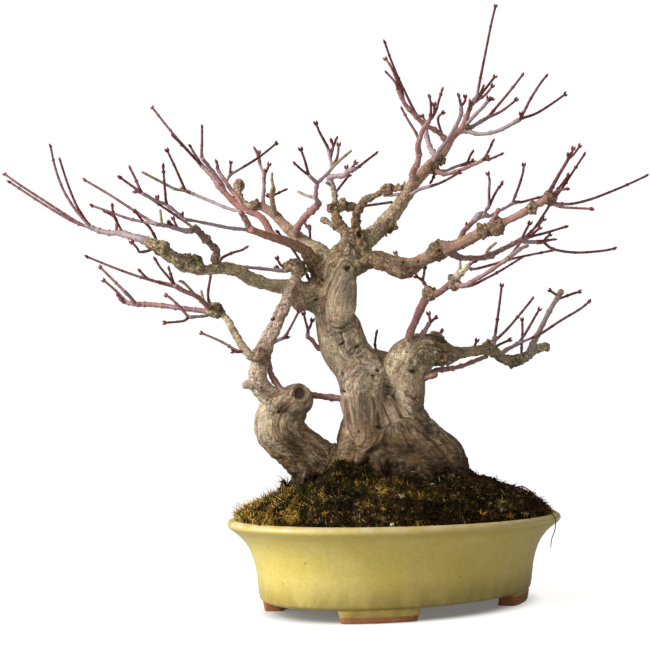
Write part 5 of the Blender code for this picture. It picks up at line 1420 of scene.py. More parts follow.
# The pot's section up the outside, over the lip and down the inside: inset from the rim, height
POT_OUTSIDE = ((31, 9), (26.6, 10.6), (24.6, 14), (22.6, 30), (20.2, 40), (16.6, 49), (12.2, 55.4), (7.6, 60),
               (2.4, 64), (0, 66.6), (0.7, 69.4), (3.4, 71))
POT_INSIDE = ((6.4, 70.7), (8.4, 68), (14, 60.5), (20, 52), (25, 40), (28.4, 22), (31.8, 17), (37, 16))
FOOT_ANGLE = math.radians(48)
# Each foot's levels from the ground up: arc length, inset from the rim, height
FOOT_SECTION = ((59.8, 28.7, 0), (61.0, 28.1, 0.6), (61.3, 27.9, 2.0), (65.0, 26.7, 7.5), (69.0, 29.1, 12))
FOOT_THICKNESS = 15.0
DRAIN_REACH, DRAIN_RADIUS = 56.0, 9.0
BASE_HALF = (128.0, 82.0, 100.0)  # the base's half sizes, and a height, for the shade under the pot
GAP = 0.35

SOIL_EDGE_INSET, SOIL_EDGE_HEIGHT = 7.9, 69.4
SOIL_RISE, SOIL_FULLNESS, SOIL_BUMP = 23.1, 8.5, 1.6

# The root pad's section from its underside up: share of its reach, height
PAD_SECTION = ((0.80, 66), (0.93, 80), (1.0, 92), (0.95, 97), (0.84, 101), (0.60, 104))
PAD_X, PAD_Y = -10.7, 0.0
PAD_HALF_LENGTH, PAD_HALF_WIDTH = 76.0, 66.0
PAD_LOBES, PAD_LOBE_DEPTH = 7, 0.035

# Unevenness of the pot's wall
THROWN, PATTED = Layer(0.5, 46.0, 71), Layer(0.22, 14.0, 73)
# Unevenness of the soil, and of the moss
SOIL_LAYERS = (Layer(1.5, 11.0, 81), Layer(1.0, 4.6, 83), Layer(0.7, 2.1, 85))
HUMMOCKS, MOSS_LUMPS, MOSS_TIPS = Layer(1.0, 9.0, 93), Layer(0.8, 3.0, 95), Layer(0.5, 1.5, 97)


def pad_radius(angle: Array) -> Array:
    """How far the root pad reaches in a direction from its middle, with low lobes between its roots."""
    across, along = np.cos(angle) / PAD_HALF_LENGTH, np.sin(angle) / PAD_HALF_WIDTH
    return (1 + PAD_LOBE_DEPTH * np.cos(PAD_LOBES * angle + 0.8)) / np.hypot(across, along)


@dataclass(frozen=True)
class Dish:
    """The oval pot, turned from the tree's front."""

    middle: Array
    steps: int = 224
    fineness: int = 5
    foot_steps: int = 26
    foot_ends: float = 0.22  # powers of the superellipse that rounds a foot's corners
    foot_sides: float = 0.35
    sharp: float = math.radians(38)

    def turned(self, across: Array, along: Array) -> tuple[Array, Array]:
        """Turns points from the pot's own axes to the tree's, round the pot's middle."""
        x = across * math.cos(POT_TURN) - along * math.sin(POT_TURN)
        y = across * math.sin(POT_TURN) + along * math.cos(POT_TURN)
        return x + self.middle[0], y + self.middle[1]

    def ring(self, inset: float, height: Array, share: float = 1.0, steps: int = 0) -> Array:
        """A ring of the pot: the rim's oval drawn in by an inset, then scaled by a share."""
        angle = np.linspace(0, 2 * math.pi, steps or self.steps, endpoint=False)
        across = share * (POT_HALF_LENGTH - inset) * np.cos(angle)
        along = share * (POT_HALF_WIDTH - inset) * np.sin(angle)
        x, y = self.turned(across, along)
        return np.column_stack([x, y, np.broadcast_to(height, x.shape)])

    def build(self) -> bpy.types.Object:
        """Makes the pot with its feet joined on and its drain holes cut."""
        section = smooth(np.array(POT_OUTSIDE + POT_INSIDE, float), self.fineness)
        rings = np.stack([self.ring(inset, height) for inset, height in section])
        hand = THROWN.at(rings) + PATTED.at(rings)
        outward = unit(rings - (self.middle[0], self.middle[1], 0))
        outward[..., 2] = 0
        rings = rings + outward * hand[..., None]
        base = np.array([self.middle[0], self.middle[1], section[0, 1]])
        floor = np.array([self.middle[0], self.middle[1], section[-1, 1]])
        skin = Skin()
        skin.add_tube(rings, base, floor)
        pot = skin.build("pot_glazed")
        self.combine(pot, self.feet(), "UNION")
        self.combine(pot, self.drains(), "DIFFERENCE")
        pot.data.shade_smooth()
        pot.data.set_sharp_from_angle(angle=self.sharp)
        return pot

    def feet(self) -> bpy.types.Object:
        """Makes the four feet: blocks along the base's oval that narrow to the ground, with eased corners."""
        skin = Skin()
        for middle in (FOOT_ANGLE, math.pi - FOOT_ANGLE, math.pi + FOOT_ANGLE, -FOOT_ANGLE):
            rings = np.stack([self.foot_ring(middle, *level) for level in FOOT_SECTION])
            skin.add_tube(rings, rings[0].mean(axis=0), rings[-1].mean(axis=0))
        return skin.build("feet")

    def foot_ring(self, middle: float, length: float, inset: float, height: float) -> Array:
        """A foot's outline at a height: there and back along two arcs, the ends rounded as a superellipse."""
        turn = np.linspace(0, 2 * math.pi, 2 * self.foot_steps, endpoint=False)
        along = np.sign(np.cos(turn)) * np.abs(np.cos(turn)) ** self.foot_ends
        inward = 0.5 - 0.5 * np.sign(np.sin(turn)) * np.abs(np.sin(turn)) ** self.foot_sides
        half_length = POT_HALF_LENGTH - inset - inward * FOOT_THICKNESS
        half_width = POT_HALF_WIDTH - inset - inward * FOOT_THICKNESS
        speed = np.hypot(half_length * math.sin(middle), half_width * math.cos(middle))
        angle = middle - along * (length - 6 * inward) / 2 / speed
        x, y = self.turned(half_length * np.cos(angle), half_width * np.sin(angle))
        return np.column_stack([x, y, np.full(len(x), height)])[::-1]

    def drains(self) -> bpy.types.Object:
        """Makes the two plugs that the drain holes are cut with."""
        skin = Skin()
        angle = np.linspace(0, 2 * math.pi, 48, endpoint=False)
        for side in (-1, 1):
            x, y = self.turned(np.array([side * DRAIN_REACH]), np.zeros(1))
            circle = np.column_stack([np.cos(angle), np.sin(angle), np.zeros(len(angle))]) * DRAIN_RADIUS
            low, high = (np.array([x[0], y[0], level]) for level in (-10.0, 30.0))
            skin.add_tube(np.stack([circle + low, circle + high]), low, high)
        return skin.build("drains")

    def combine(self, pot: bpy.types.Object, other: bpy.types.Object, operation: str) -> None:
        """Joins or cuts the pot with another object, which then goes."""
        change = pot.modifiers.new(operation.title(), "BOOLEAN")
        change.operation = operation
        change.solver = "MANIFOLD"
        change.object = other
        bake_modifiers(pot)
        bpy.data.objects.remove(other)


# Hills in the ground: place from the pot's middle, half width and height, in mm
HILLS = ((-49, -50, 12, 17), (-30, -57, 11, 11), (-93, -14, 4.5, 15), (-84, -8, 19, -9), (77, 10, 16, 1.5),
         (58, -52, 10, 3), (-8, -78, 14, 3))
DIP, DIP_PLACE, DIP_WIDTH = 6.5, -108.0, 19.0  # a fall across the whole left end of the ground


class Palette(Enum):
    """The colours that loose strands and crumbs are drawn from."""

    GOLD = ("d49e44", "bc8c34", "9c8c3c", "7e722e", "6e5022", "e4bc68")
    OLIVE = ("5c5a20", "4a4a1a", "6c5c20", "383a12", "56421a")
    DARK = ("1e1c0a", "28240e", "161206", "302810", "222a0c", "3a2e16")
    LITTER = ("4a301e", "30261c", "3c2a1c", "6a5038", "2c2016", "563a22")
    PALE = ("a48a68", "cdb88c", "8a7050")
    ROOTS = ("7c6048", "644c38", "94785c", "46341f", "2a1c12", "58422e")

    def pick(self, draw: np.random.Generator, count: int) -> Array:
        """Draws colours, linear, one row for each strand."""
        colours = np.stack([linear(colour) for colour in self.value])
        return colours[draw.integers(len(colours), size=count)] * draw.uniform(0.7, 1.3, (count, 1))


@dataclass(frozen=True)
class Cushion:
    """A moss cushion: the node it stands for, its directions in degrees, its thickness and its strands.

    The mixes are the chances of gold, olive, dark, litter and pale strands at its left end and its right end.
    """

    name: str
    node: str
    slot: str
    start: float
    end: float
    thick: float
    count: int
    length: tuple[float, float]
    left_mix: tuple[float, ...]
    right_mix: tuple[float, ...]


CUSHIONS = (
    Cushion("gold", "moss_golden", "golden_moss", 150, 264, 6.0, 13000, (1.4, 4.0),
            (0.82, 0.10, 0.02, 0.05, 0.01), (0.11, 0.20, 0.40, 0.26, 0.03)),
    Cushion("dark", "moss_dark", "dark_moss", 264, 320, 4.0, 7000, (1.2, 3.4),
            (0.08, 0.18, 0.40, 0.31, 0.03), (0.03, 0.08, 0.40, 0.46, 0.03)),
)


@dataclass(frozen=True)
class Ground:
    """The mounded soil, heaped against the root pad, and the moss on it."""

    dish: Dish
    steps: int = 320
    rows: int = 110
    heap: float = 9.0
    heap_width: float = 13.0

    def local(self, x: Array, y: Array) -> tuple[Array, Array]:
        """Turns the tree's axes to distances from the pot's middle."""
        return x - self.dish.middle[0], y - self.dish.middle[1]

    def from_pad(self, x: Array, y: Array) -> Array:
        """How far outside the root pad points are, in mm."""
        x, y = self.local(x, y)
        return np.hypot(x - PAD_X, y - PAD_Y) - pad_radius(np.arctan2(y - PAD_Y, x - PAD_X))

    def between(self, angle: Array, inner: Array, outer: Array, out: Array) -> tuple[Array, Array]:
        """Points at shares of the way from the root pad out to the soil's edge, in the tree's axes."""
        middle = self.dish.middle
        x = (PAD_X + inner * np.cos(angle)) * (1 - out) + outer * np.cos(angle) * out
        y = (PAD_Y + inner * np.sin(angle)) * (1 - out) + outer * np.sin(angle) * out
        return x + middle[0], y + middle[1]

    def edge(self, angle: Array) -> Array:
        """How far the soil's edge is from the pot's middle in a direction."""
        own = angle - POT_TURN
        across = np.cos(own) / (POT_HALF_LENGTH - SOIL_EDGE_INSET)
        along = np.sin(own) / (POT_HALF_WIDTH - SOIL_EDGE_INSET)
        return 1 / np.hypot(across, along)

    def height(self, x: Array, y: Array) -> Array:
        """Height of the soil: a full mound with low bumps, heaped to the pad, with the named hills."""
        near = self.from_pad(x, y)
        x, y = self.local(x, y)
        angle = np.arctan2(y, x)
        share = np.clip(np.hypot(x, y) / self.edge(angle), 0, 1)
        own = angle - POT_TURN
        bumps = np.sin(5 * own + 6 * share) * np.sin(9 * share + 1.3) + 0.6 * np.sin(11 * own - 4 * share)
        mound = SOIL_RISE * (1 - share ** SOIL_FULLNESS) + SOIL_BUMP * bumps * share * (1 - share ** 6)
        heap = self.heap * (0.3 + 0.7 * rise(-60, 0, x))
        heaped = heap * hill(np.maximum(near, 0), self.heap_width)
        hills = sum(tall * hill(np.hypot(x - at_x, y - at_y), wide) for at_x, at_y, wide, tall in HILLS)
        dip = DIP * hill(x - DIP_PLACE, DIP_WIDTH)
        return SOIL_EDGE_HEIGHT + mound + (heaped + hills - dip) * rise(1.0, 0.86, share)

    def rough(self, points: Array) -> Array:
        """Height of clods and crumbs."""
        flat = points * (1, 1, 0)
        return sum(layer.at(flat) for layer in SOIL_LAYERS)

    def soil(self) -> bpy.types.Object:
        """Makes the soil: its walls follow the pot's inside, its top is the mound with crumbs."""
        inside = POT_INSIDE[:1:-1]
        walls = [self.dish.ring(inset + GAP, height + GAP, 1, self.steps) for inset, height in inside]
        top = []
        for share in np.linspace(1, 0.02, self.rows):
            ring = self.dish.ring(SOIL_EDGE_INSET, 0, share, self.steps)
            ring[:, 2] = self.height(ring[:, 0], ring[:, 1])
            ring[:, 2] += self.rough(ring) * (0.3 + 0.7 * rise(1, 0.93, np.full(len(ring), share)))
            top.append(ring)
        rings = np.stack(walls + top)
        base = rings[0].mean(axis=0)
        skin = Skin()
        skin.add_tube(rings, base, rings[-1].mean(axis=0))
        return skin.build("soil_mound")

    def moss_top(self, start: float, end: float, thick: float, steps: int, rows: int) -> Array:
        """A cushion of moss from the root pad to the rim, between two directions in degrees.

        It is thickest mid-way, thins to its edges, and has rounded hummocks: the square of noise, turned over.

        Args:
            start: the direction it starts in.
            end: the direction it ends in.
            thick: how thick it is at most, in mm.
            steps: how many rows of points it has.
            rows: how many points a row has.

        Returns:
            Its upper points, from the pad out to the rim in each row.
        """
        angle = np.radians(np.linspace(start, end, steps))[:, None]
        out = np.linspace(0, 1, rows)[None, :]
        inner = pad_radius(angle) * (0.93 - 0.24 * hill(np.degrees(angle) - 243, 24))
        outer = self.edge(angle) * (1.005 + 0.02 * noise(np.dstack([angle * 9, angle * 0, angle * 0]), 91))
        x, y = self.between(angle, inner, outer, out)
        swell = np.sqrt(np.clip(np.sin(math.pi * (0.06 + 0.80 * out)), 0, 1))
        ends = np.sqrt(np.clip(np.sin(math.pi * np.linspace(0.02, 0.98, steps)), 0, 1))[:, None]
        flat = np.dstack([x, y, x * 0])
        hummocks = 1 - 2 * np.abs(HUMMOCKS.at(flat)) ** 0.7
        small = MOSS_LUMPS.at(flat) + MOSS_TIPS.at(flat)
        lift = ends * swell * (thick * (0.55 + 0.45 * hummocks) + small)
        rim = 2.5 * rise(0.9, 1.0, out) * (1 - rise(200, 250, np.degrees(angle)))
        return np.dstack([x, y, self.height(x, y) - 0.6 + lift + rim])

    def moss(self, cushion: Cushion, tufts: Tufts) -> tuple[bpy.types.Object, Array]:
        """Makes a moss cushion as a closed surface.

        Args:
            cushion: which one.
            tufts: what its colours are drawn by.

        Returns:
            The object, and its upper points for strands to grow from.
        """
        steps, rows = int((cushion.end - cushion.start) * 2.2), 74
        upper = self.moss_top(cushion.start, cushion.end, cushion.thick, steps, rows)
        lower = upper[:, ::-8].copy()
        lower[..., 2] = self.height(lower[..., 0], lower[..., 1]) - 3.5
        rings = np.concatenate([upper, lower], axis=1)
        skin = Skin()
        skin.add_tube(rings, rings[0].mean(axis=0), rings[-1].mean(axis=0))
        skin.values["tint"] = [tufts.shades(np.vstack(skin.points), cushion) * 0.5]
        return skin.build("moss_bed_" + cushion.name), upper


# A root hair that hangs over the rim: its direction on the pot, its route as inset from the rim and height
STRAY_ANGLE = math.radians(-60)
STRAY_ROUTE = ((30, 93), (24, 93.5), (17, 89), (10, 79.5), (5, 73.6), (1, 72.2), (-1.5, 68), (-1, 60),
               (1.5, 53), (2.5, 46))


@dataclass(frozen=True)
class Tufts:
    """Loose strands, fibres and crumbs on the ground."""

    ground: Ground
    draw: np.random.Generator
    shaded: float = 0.6  # how light a strand's root is beside its tip
    litter_count: int = 9000
    rootlet_count: int = 2600
    tussocks: tuple[int, int, int] = (240, 90, 22)  # on the mound, at the right edge, strands in each
    crumb_counts: tuple[int, int] = (5200, 400)  # on the mound, at the right edge
    around: tuple[float, float] = (-46.0, 322.0)  # directions in degrees that litter lies in
    right_edge: tuple[float, float] = (-50.0, 50.0)

    # Chances of gold, olive, dark, litter and pale: against the wood, in litter, in crumbs, in tussocks
    damp_mix = (0.02, 0.10, 0.72, 0.15, 0.01)
    litter_mix = (0.0, 0.0, 0.17, 0.78, 0.05)
    crumb_mix = (0.0, 0.0, 0.35, 0.60, 0.05)
    left_mix = (0.70, 0.18, 0.05, 0.06, 0.01)
    right_mix = (0.06, 0.16, 0.40, 0.35, 0.03)

    def across(self, places: Array) -> Array:
        """How far to the right of the pot's middle places are."""
        return places[:, 0] - self.ground.dish.middle[0]

    def grid_faces(self, steps: int, rows: int) -> Array:
        """Quads of a grid of points, facing up where its rows go out and its steps go round."""
        step, row = np.meshgrid(np.arange(steps - 1), np.arange(rows - 1), indexing="ij")
        first = step * rows + row
        return np.stack([first, first + 1, first + rows + 1, first + rows], axis=-1).reshape(-1, 4)

    def blades(self, upper: Array, cushion: Cushion) -> bpy.types.Object:
        """Grows strands from a moss cushion, leaning every way.

        Args:
            upper: the cushion's upper points.
            cushion: which one, with the number, length and colours of its strands.

        Returns:
            The strands as one object.
        """
        count = cushion.count
        places, normals = scatter(upper.reshape(-1, 3), self.grid_faces(*upper.shape[:2]), count, 17)
        ways = unit(normals + self.draw.normal(0, 0.85, (count, 3)) + (-0.1, -0.1, 0.15))
        left = 1 - rise(-130, -80, self.across(places))
        tufted = 0.6 + 0.7 * rise(-0.6, 0.8, noise(places / 8.0, 101))
        long = self.draw.uniform(*cushion.length, count) * tufted * (1 + 0.25 * left)
        wide = self.draw.uniform(0.45, 0.9, count)
        bend = self.draw.normal(0, 0.6, (count, 3)) * long[:, None]
        name = "moss_strands_" + cushion.name
        return self.coloured(name, places - ways * 0.5, ways, long, wide, bend, self.shades(places, cushion))

    def shades(self, places: Array, cushion: Cushion) -> Array:
        """Draws a cushion's colour for each place, by mixes that change from its left to its right."""
        x = self.across(places)
        part = rise(-128, -52, x)[:, None]
        mix = self.mixed(cushion.left_mix, cushion.right_mix, part)
        near = self.ground.from_pad(places[:, 0], places[:, 1])
        deep = ((1 - rise(-4, 14, near)) * rise(-100, -70, x))[:, None]
        mix = self.mixed(mix, self.damp_mix, deep)
        clumps = 0.5 + 0.8 * rise(-0.5, 0.7, noise(places / 5.5, 121, 2))
        shade = clumps * (1.15 - 0.35 * part[:, 0]) * (1 - 0.45 * deep[:, 0])
        return self.patchy(places, mix) * shade[:, None]

    def mixed(self, first: Array | tuple, second: Array | tuple, part: Array) -> Array:
        """Goes from one mix to another by the parts given, one row for each."""
        return np.array(first) * (1 - part) + np.array(second) * part

    def patchy(self, places: Array, mix: Array | tuple) -> Array:
        """Draws colours in patches: a palette's chance rises and falls with a noise of its own.

        Args:
            places: where the colours are for.
            mix: the chance of each palette, at each place or at all.

        Returns:
            Linear colours in rows.
        """
        mix = np.broadcast_to(mix, (len(places), len(self.damp_mix)))
        chance = np.stack([share * np.exp(3.2 * noise(places / 10.0, 111 + 7 * number, 2))
                           for number, share in enumerate(mix.T)], axis=1)
        chance = np.cumsum(chance / chance.sum(axis=1, keepdims=True), axis=1)
        chosen = (self.draw.random((len(places), 1)) > chance).sum(axis=1)
        drawn = np.stack([palette.pick(self.draw, len(places)) for palette, _ in zip(Palette, mix.T)])
        return drawn[np.minimum(chosen, len(drawn) - 1), np.arange(len(places))]

    def coloured(self, name: str, roots: Array, ways: Array, long: Array, wide: Array, bend: Array,
                 shade: Array) -> bpy.types.Object:
        """Makes one object of strands, each darker at its root.

        Args:
            name: the object's name.
            roots: where each starts.
            ways: the direction each grows in.
            long: how long each is.
            wide: how thick each is at its root.
            bend: how far each one's point is pulled aside.
            shade: each one's colour.

        Returns:
            The object.
        """
        points, faces = strands(roots, ways, long, wide, bend)
        tint = np.repeat(shade[:, None], 7, axis=1)
        tint[:, :3] *= self.shaded
        skin = Skin()
        skin.add(points, faces, tint=tint.reshape(-1, 3))
        return skin.build(name)

    def over_soil(self, count: int, start: float, end: float, least: float = 0.0,
                  most: float = 0.985) -> Array:
        """Drops points on the mound.

        Args:
            count: how many.
            start: the direction in degrees that they start from.
            end: the direction that they end at.
            least: how far out from the pad they start, as a share of the way to the rim.
            most: how far out they end.

        Returns:
            Places on the ground.
        """
        angle = np.radians(self.draw.uniform(start, end, count))
        out = np.sqrt(self.draw.uniform(least ** 2, most ** 2, count))
        inner = pad_radius(angle) * 0.93
        x, y = self.ground.between(angle, inner, self.ground.edge(angle), out)
        places = np.column_stack([x, y, self.ground.height(x, y)])
        places[:, 2] += self.ground.rough(places) * 0.8
        return places

    def litter(self) -> bpy.types.Object:
        """Scatters fibres: most lie down, dark and rust brown, and some are pale or stand up."""
        count = self.litter_count
        places = self.over_soil(count, *self.around)
        angle = self.draw.uniform(0, 2 * math.pi, count)
        steep = np.abs(self.draw.normal(0, 0.14, count))
        ways = np.column_stack([np.cos(angle), np.sin(angle), steep])
        long = self.draw.gamma(3.0, 0.75, count) + 0.8
        wide = self.draw.uniform(0.3, 0.75, count)
        bend = self.draw.normal(0, 0.3, (count, 3)) * long[:, None]
        shade = self.patchy(places, self.litter_mix)
        return self.coloured("soil_litter", places + (0, 0, 0.3), ways, long, wide, bend, shade)

    def clumps(self) -> bpy.types.Object:
        """Sets tussocks on the ground: each a dome of short strands from one root."""
        mound, edge, each = self.tussocks
        count = mound + edge
        places = np.vstack([self.over_soil(mound, *self.around),
                            self.over_soil(edge, *self.right_edge, 0.90, 1.03)])
        wide = self.draw.uniform(0.5, 1.5, count)
        roots = np.repeat(places, each, axis=0) + self.draw.normal(0, 1, (count * each, 3)) * (1, 1, 0.2)
        ways = self.draw.normal(0, 0.9, (count * each, 3)) + (0, 0, 0.8)
        long = self.draw.uniform(1.6, 3.4, count * each) * np.repeat(wide, each)
        bend = self.draw.normal(0, 0.3, (count * each, 3)) * long[:, None]
        mix = self.mixed(self.left_mix, self.right_mix, rise(-110, -30, self.across(places))[:, None])
        shade = np.repeat(self.patchy(places, mix), each, axis=0)
        shade = shade * self.draw.uniform(0.6, 1.3, (count * each, 1))
        thick = self.draw.uniform(0.4, 0.8, count * each)
        return self.coloured("ground_tussocks", roots, ways, long, thick, bend, shade)

    def rootlets(self, wood: bpy.types.Object) -> bpy.types.Object:
        """Lays fine roots along the foot of the wood: round the trunk, and down the flare at its right."""
        count = self.rootlet_count
        points, normals = mesh_points(wood.data), mesh_normals(wood.data)
        soiled = np.empty(len(points) * 3, np.float32)
        wood.data.attributes["marks"].data.foreach_get("vector", soiled)
        weight = soiled[2::3] * rise(94, 102, points[:, 2]) * (1 - rise(104, 116, points[:, 2]))
        weight *= rise(-38, -16, self.across(points) - PAD_X)
        chosen = self.draw.choice(len(points), count, p=weight / weight.sum())
        places, out = points[chosen], normals[chosen]
        aside = unit(np.cross(out, UPRIGHT))
        x = self.across(places) - PAD_X
        angle = self.draw.normal(0, 0.40, count) + 0.9 * rise(20, 60, x)
        ways = aside * np.cos(angle)[:, None] + np.cross(aside, out) * np.sin(angle)[:, None]
        ways = ways * self.draw.choice([-1, 1], (count, 1)) + 0.12 * out
        long = self.draw.gamma(3.0, 0.8, count) + 1.0
        wide = self.draw.uniform(0.4, 0.9, count)
        bend = self.draw.normal(0, 0.22, (count, 3)) * long[:, None] - out * 0.1 * long[:, None]
        clots = 0.35 + 0.75 * rise(-0.4, 0.6, noise(places / 6.0, 131, 2))
        shade = Palette.ROOTS.pick(self.draw, count) * clots[:, None]
        return self.coloured("rootlets", places, ways, long, wide, bend, shade)

    def stray_root(self) -> bpy.types.Object:
        """Hangs one long root hair from the soil over the rim."""
        inset, height = np.array(STRAY_ROUTE).T
        across = (POT_HALF_LENGTH - inset) * math.cos(STRAY_ANGLE)
        along = (POT_HALF_WIDTH - inset) * math.sin(STRAY_ANGLE)
        x, y = self.ground.dish.turned(across, along)
        centre = np.column_stack([x, y, height])
        path = Path(centre[:, :2], y, centre, np.linspace(0.5, 0.35, len(x)), 0.0)
        spine = Spine(path, 1.0)
        skin = Skin()
        skin.add_tube(spine.rings(spine.radius, 6), spine.centre[0], spine.centre[-1], tint=linear("4a2620"))
        return skin.build("stray_root")

    def crumbs(self) -> bpy.types.Object:
        """Scatters crumbs of soil: small boxes with uneven corners."""
        mound, edge = self.crumb_counts
        count = mound + edge
        places = np.vstack([self.over_soil(mound, 0, 360),
                            self.over_soil(edge, *self.right_edge, 0.93, 1.035)])
        size = self.draw.gamma(3.0, 0.28, (count, 1, 1)) + 0.35
        corners = np.array([(x, y, z) for x in (-1, 1) for y in (-1, 1) for z in (-1, 1)], float)
        shape = unit(corners)[None] * size * self.draw.uniform(0.6, 1.25, (count, 8, 1))
        points = (places[:, None] + shape * (1.1, 1.1, 0.8)).reshape(-1, 3)
        box = np.array([[0, 1, 3, 2], [4, 6, 7, 5], [0, 4, 5, 1], [2, 3, 7, 6], [0, 2, 6, 4], [1, 5, 7, 3]])
        faces = (box[None] + 8 * np.arange(count)[:, None, None]).reshape(-1, 4)
        shade = self.patchy(places, self.crumb_mix)
        skin = Skin()
        skin.add(points, [faces], tint=np.repeat(shade, 8, axis=0))
        return skin.build("soil_crumbs")


# Finishes


Value = float | tuple | bpy.types.NodeSocket


class Wiring:
    """Adds nodes to a node tree and links them as they are made."""

    def __init__(self, tree: bpy.types.NodeTree) -> None:
        """Takes the tree to add to."""
        self.tree = tree

    def add(self, kind: str, inputs: dict[str | int, Value] | None = None,
            **settings: object) -> bpy.types.Node:
        """Adds a node.

        Args:
            kind: the node's type, without its prefix.
            inputs: for a socket's name or number, a value or the output to link to it.
            settings: the node's own properties.

        Returns:
            The node.
        """
        node = self.tree.nodes.new("ShaderNode" + kind)
        for name, value in settings.items():
            setattr(node, name, value)
        for name, value in (inputs or {}).items():
            self.put(value, node.inputs[name])
        return node

    def put(self, value: Value, socket: bpy.types.NodeSocket) -> None:
        """Links an output to a socket, or sets the socket."""
        if isinstance(value, bpy.types.NodeSocket):
            self.tree.links.new(value, socket)
        else:
            socket.default_value = value

    def math(self, operation: str, *values: Value) -> bpy.types.NodeSocket:
        """Works out a number from numbers."""
        return self.add("Math", dict(enumerate(values)), operation=operation).outputs[0]

    def times(self, first: Value, second: Value) -> bpy.types.NodeSocket:
        """Multiplies two numbers."""
        return self.math("MULTIPLY", first, second)

    def scaled(self, vector: Value, scale: tuple[float, float, float]) -> bpy.types.NodeSocket:
        """Multiplies a vector by another, part by part."""
        return self.add("VectorMath", {0: vector, 1: scale}, operation="MULTIPLY").outputs[0]

    def noise(self, vector: Value, scale: float, detail: float = 3.0,
              distortion: float = 0.0) -> bpy.types.NodeSocket:
        """Smooth random values round a half."""
        inputs = {"Vector": vector, "Scale": scale, "Detail": detail, "Distortion": distortion}
        return self.add("TexNoise", inputs).outputs["Fac"]

    def fit(self, value: Value, low: float, high: float, start: float = 0.0,
            end: float = 1.0) -> bpy.types.NodeSocket:
        """Maps a range of values to another, smoothly, and holds it at its ends."""
        inputs = {0: value, 1: low, 2: high, 3: start, 4: end}
        return self.add("MapRange", inputs, interpolation_type="SMOOTHSTEP").outputs[0]

    def blend(self, factor: Value, first: Value, second: Value, kind: str = "MIX") -> bpy.types.NodeSocket:
        """Mixes two colours."""
        node = self.add("Mix", data_type="RGBA", blend_type=kind)
        for value, socket in zip((factor, first, second), (node.inputs[0], node.inputs[6], node.inputs[7])):
            self.put(value, socket)
        return node.outputs[2]

    def attribute(self, name: str) -> bpy.types.NodeSocket:
        """Reads one of a piece's own attributes as a vector."""
        return self.add("Attribute", attribute_name=name).outputs["Vector"]

    def parts(self, vector: Value) -> bpy.types.NodeOutputs:
        """Splits a vector."""
        return self.add("SeparateXYZ", {0: vector}).outputs

    def bump(self, height: Value, distance: float, strength: float = 1.0) -> bpy.types.NodeSocket:
        """Turns heights from 0 to 1 to a normal, for a relief of so many mm."""
        inputs = {"Height": height, "Distance": distance * MM, "Strength": strength}
        return self.add("Bump", inputs).outputs["Normal"]


def rgba(colour: str, shade: float = 1.0) -> tuple[float, float, float, float]:
    """A socket's colour from hexadecimal digits, darkened or lightened."""
    return (*(float(value) for value in linear(colour) * shade), 1.0)


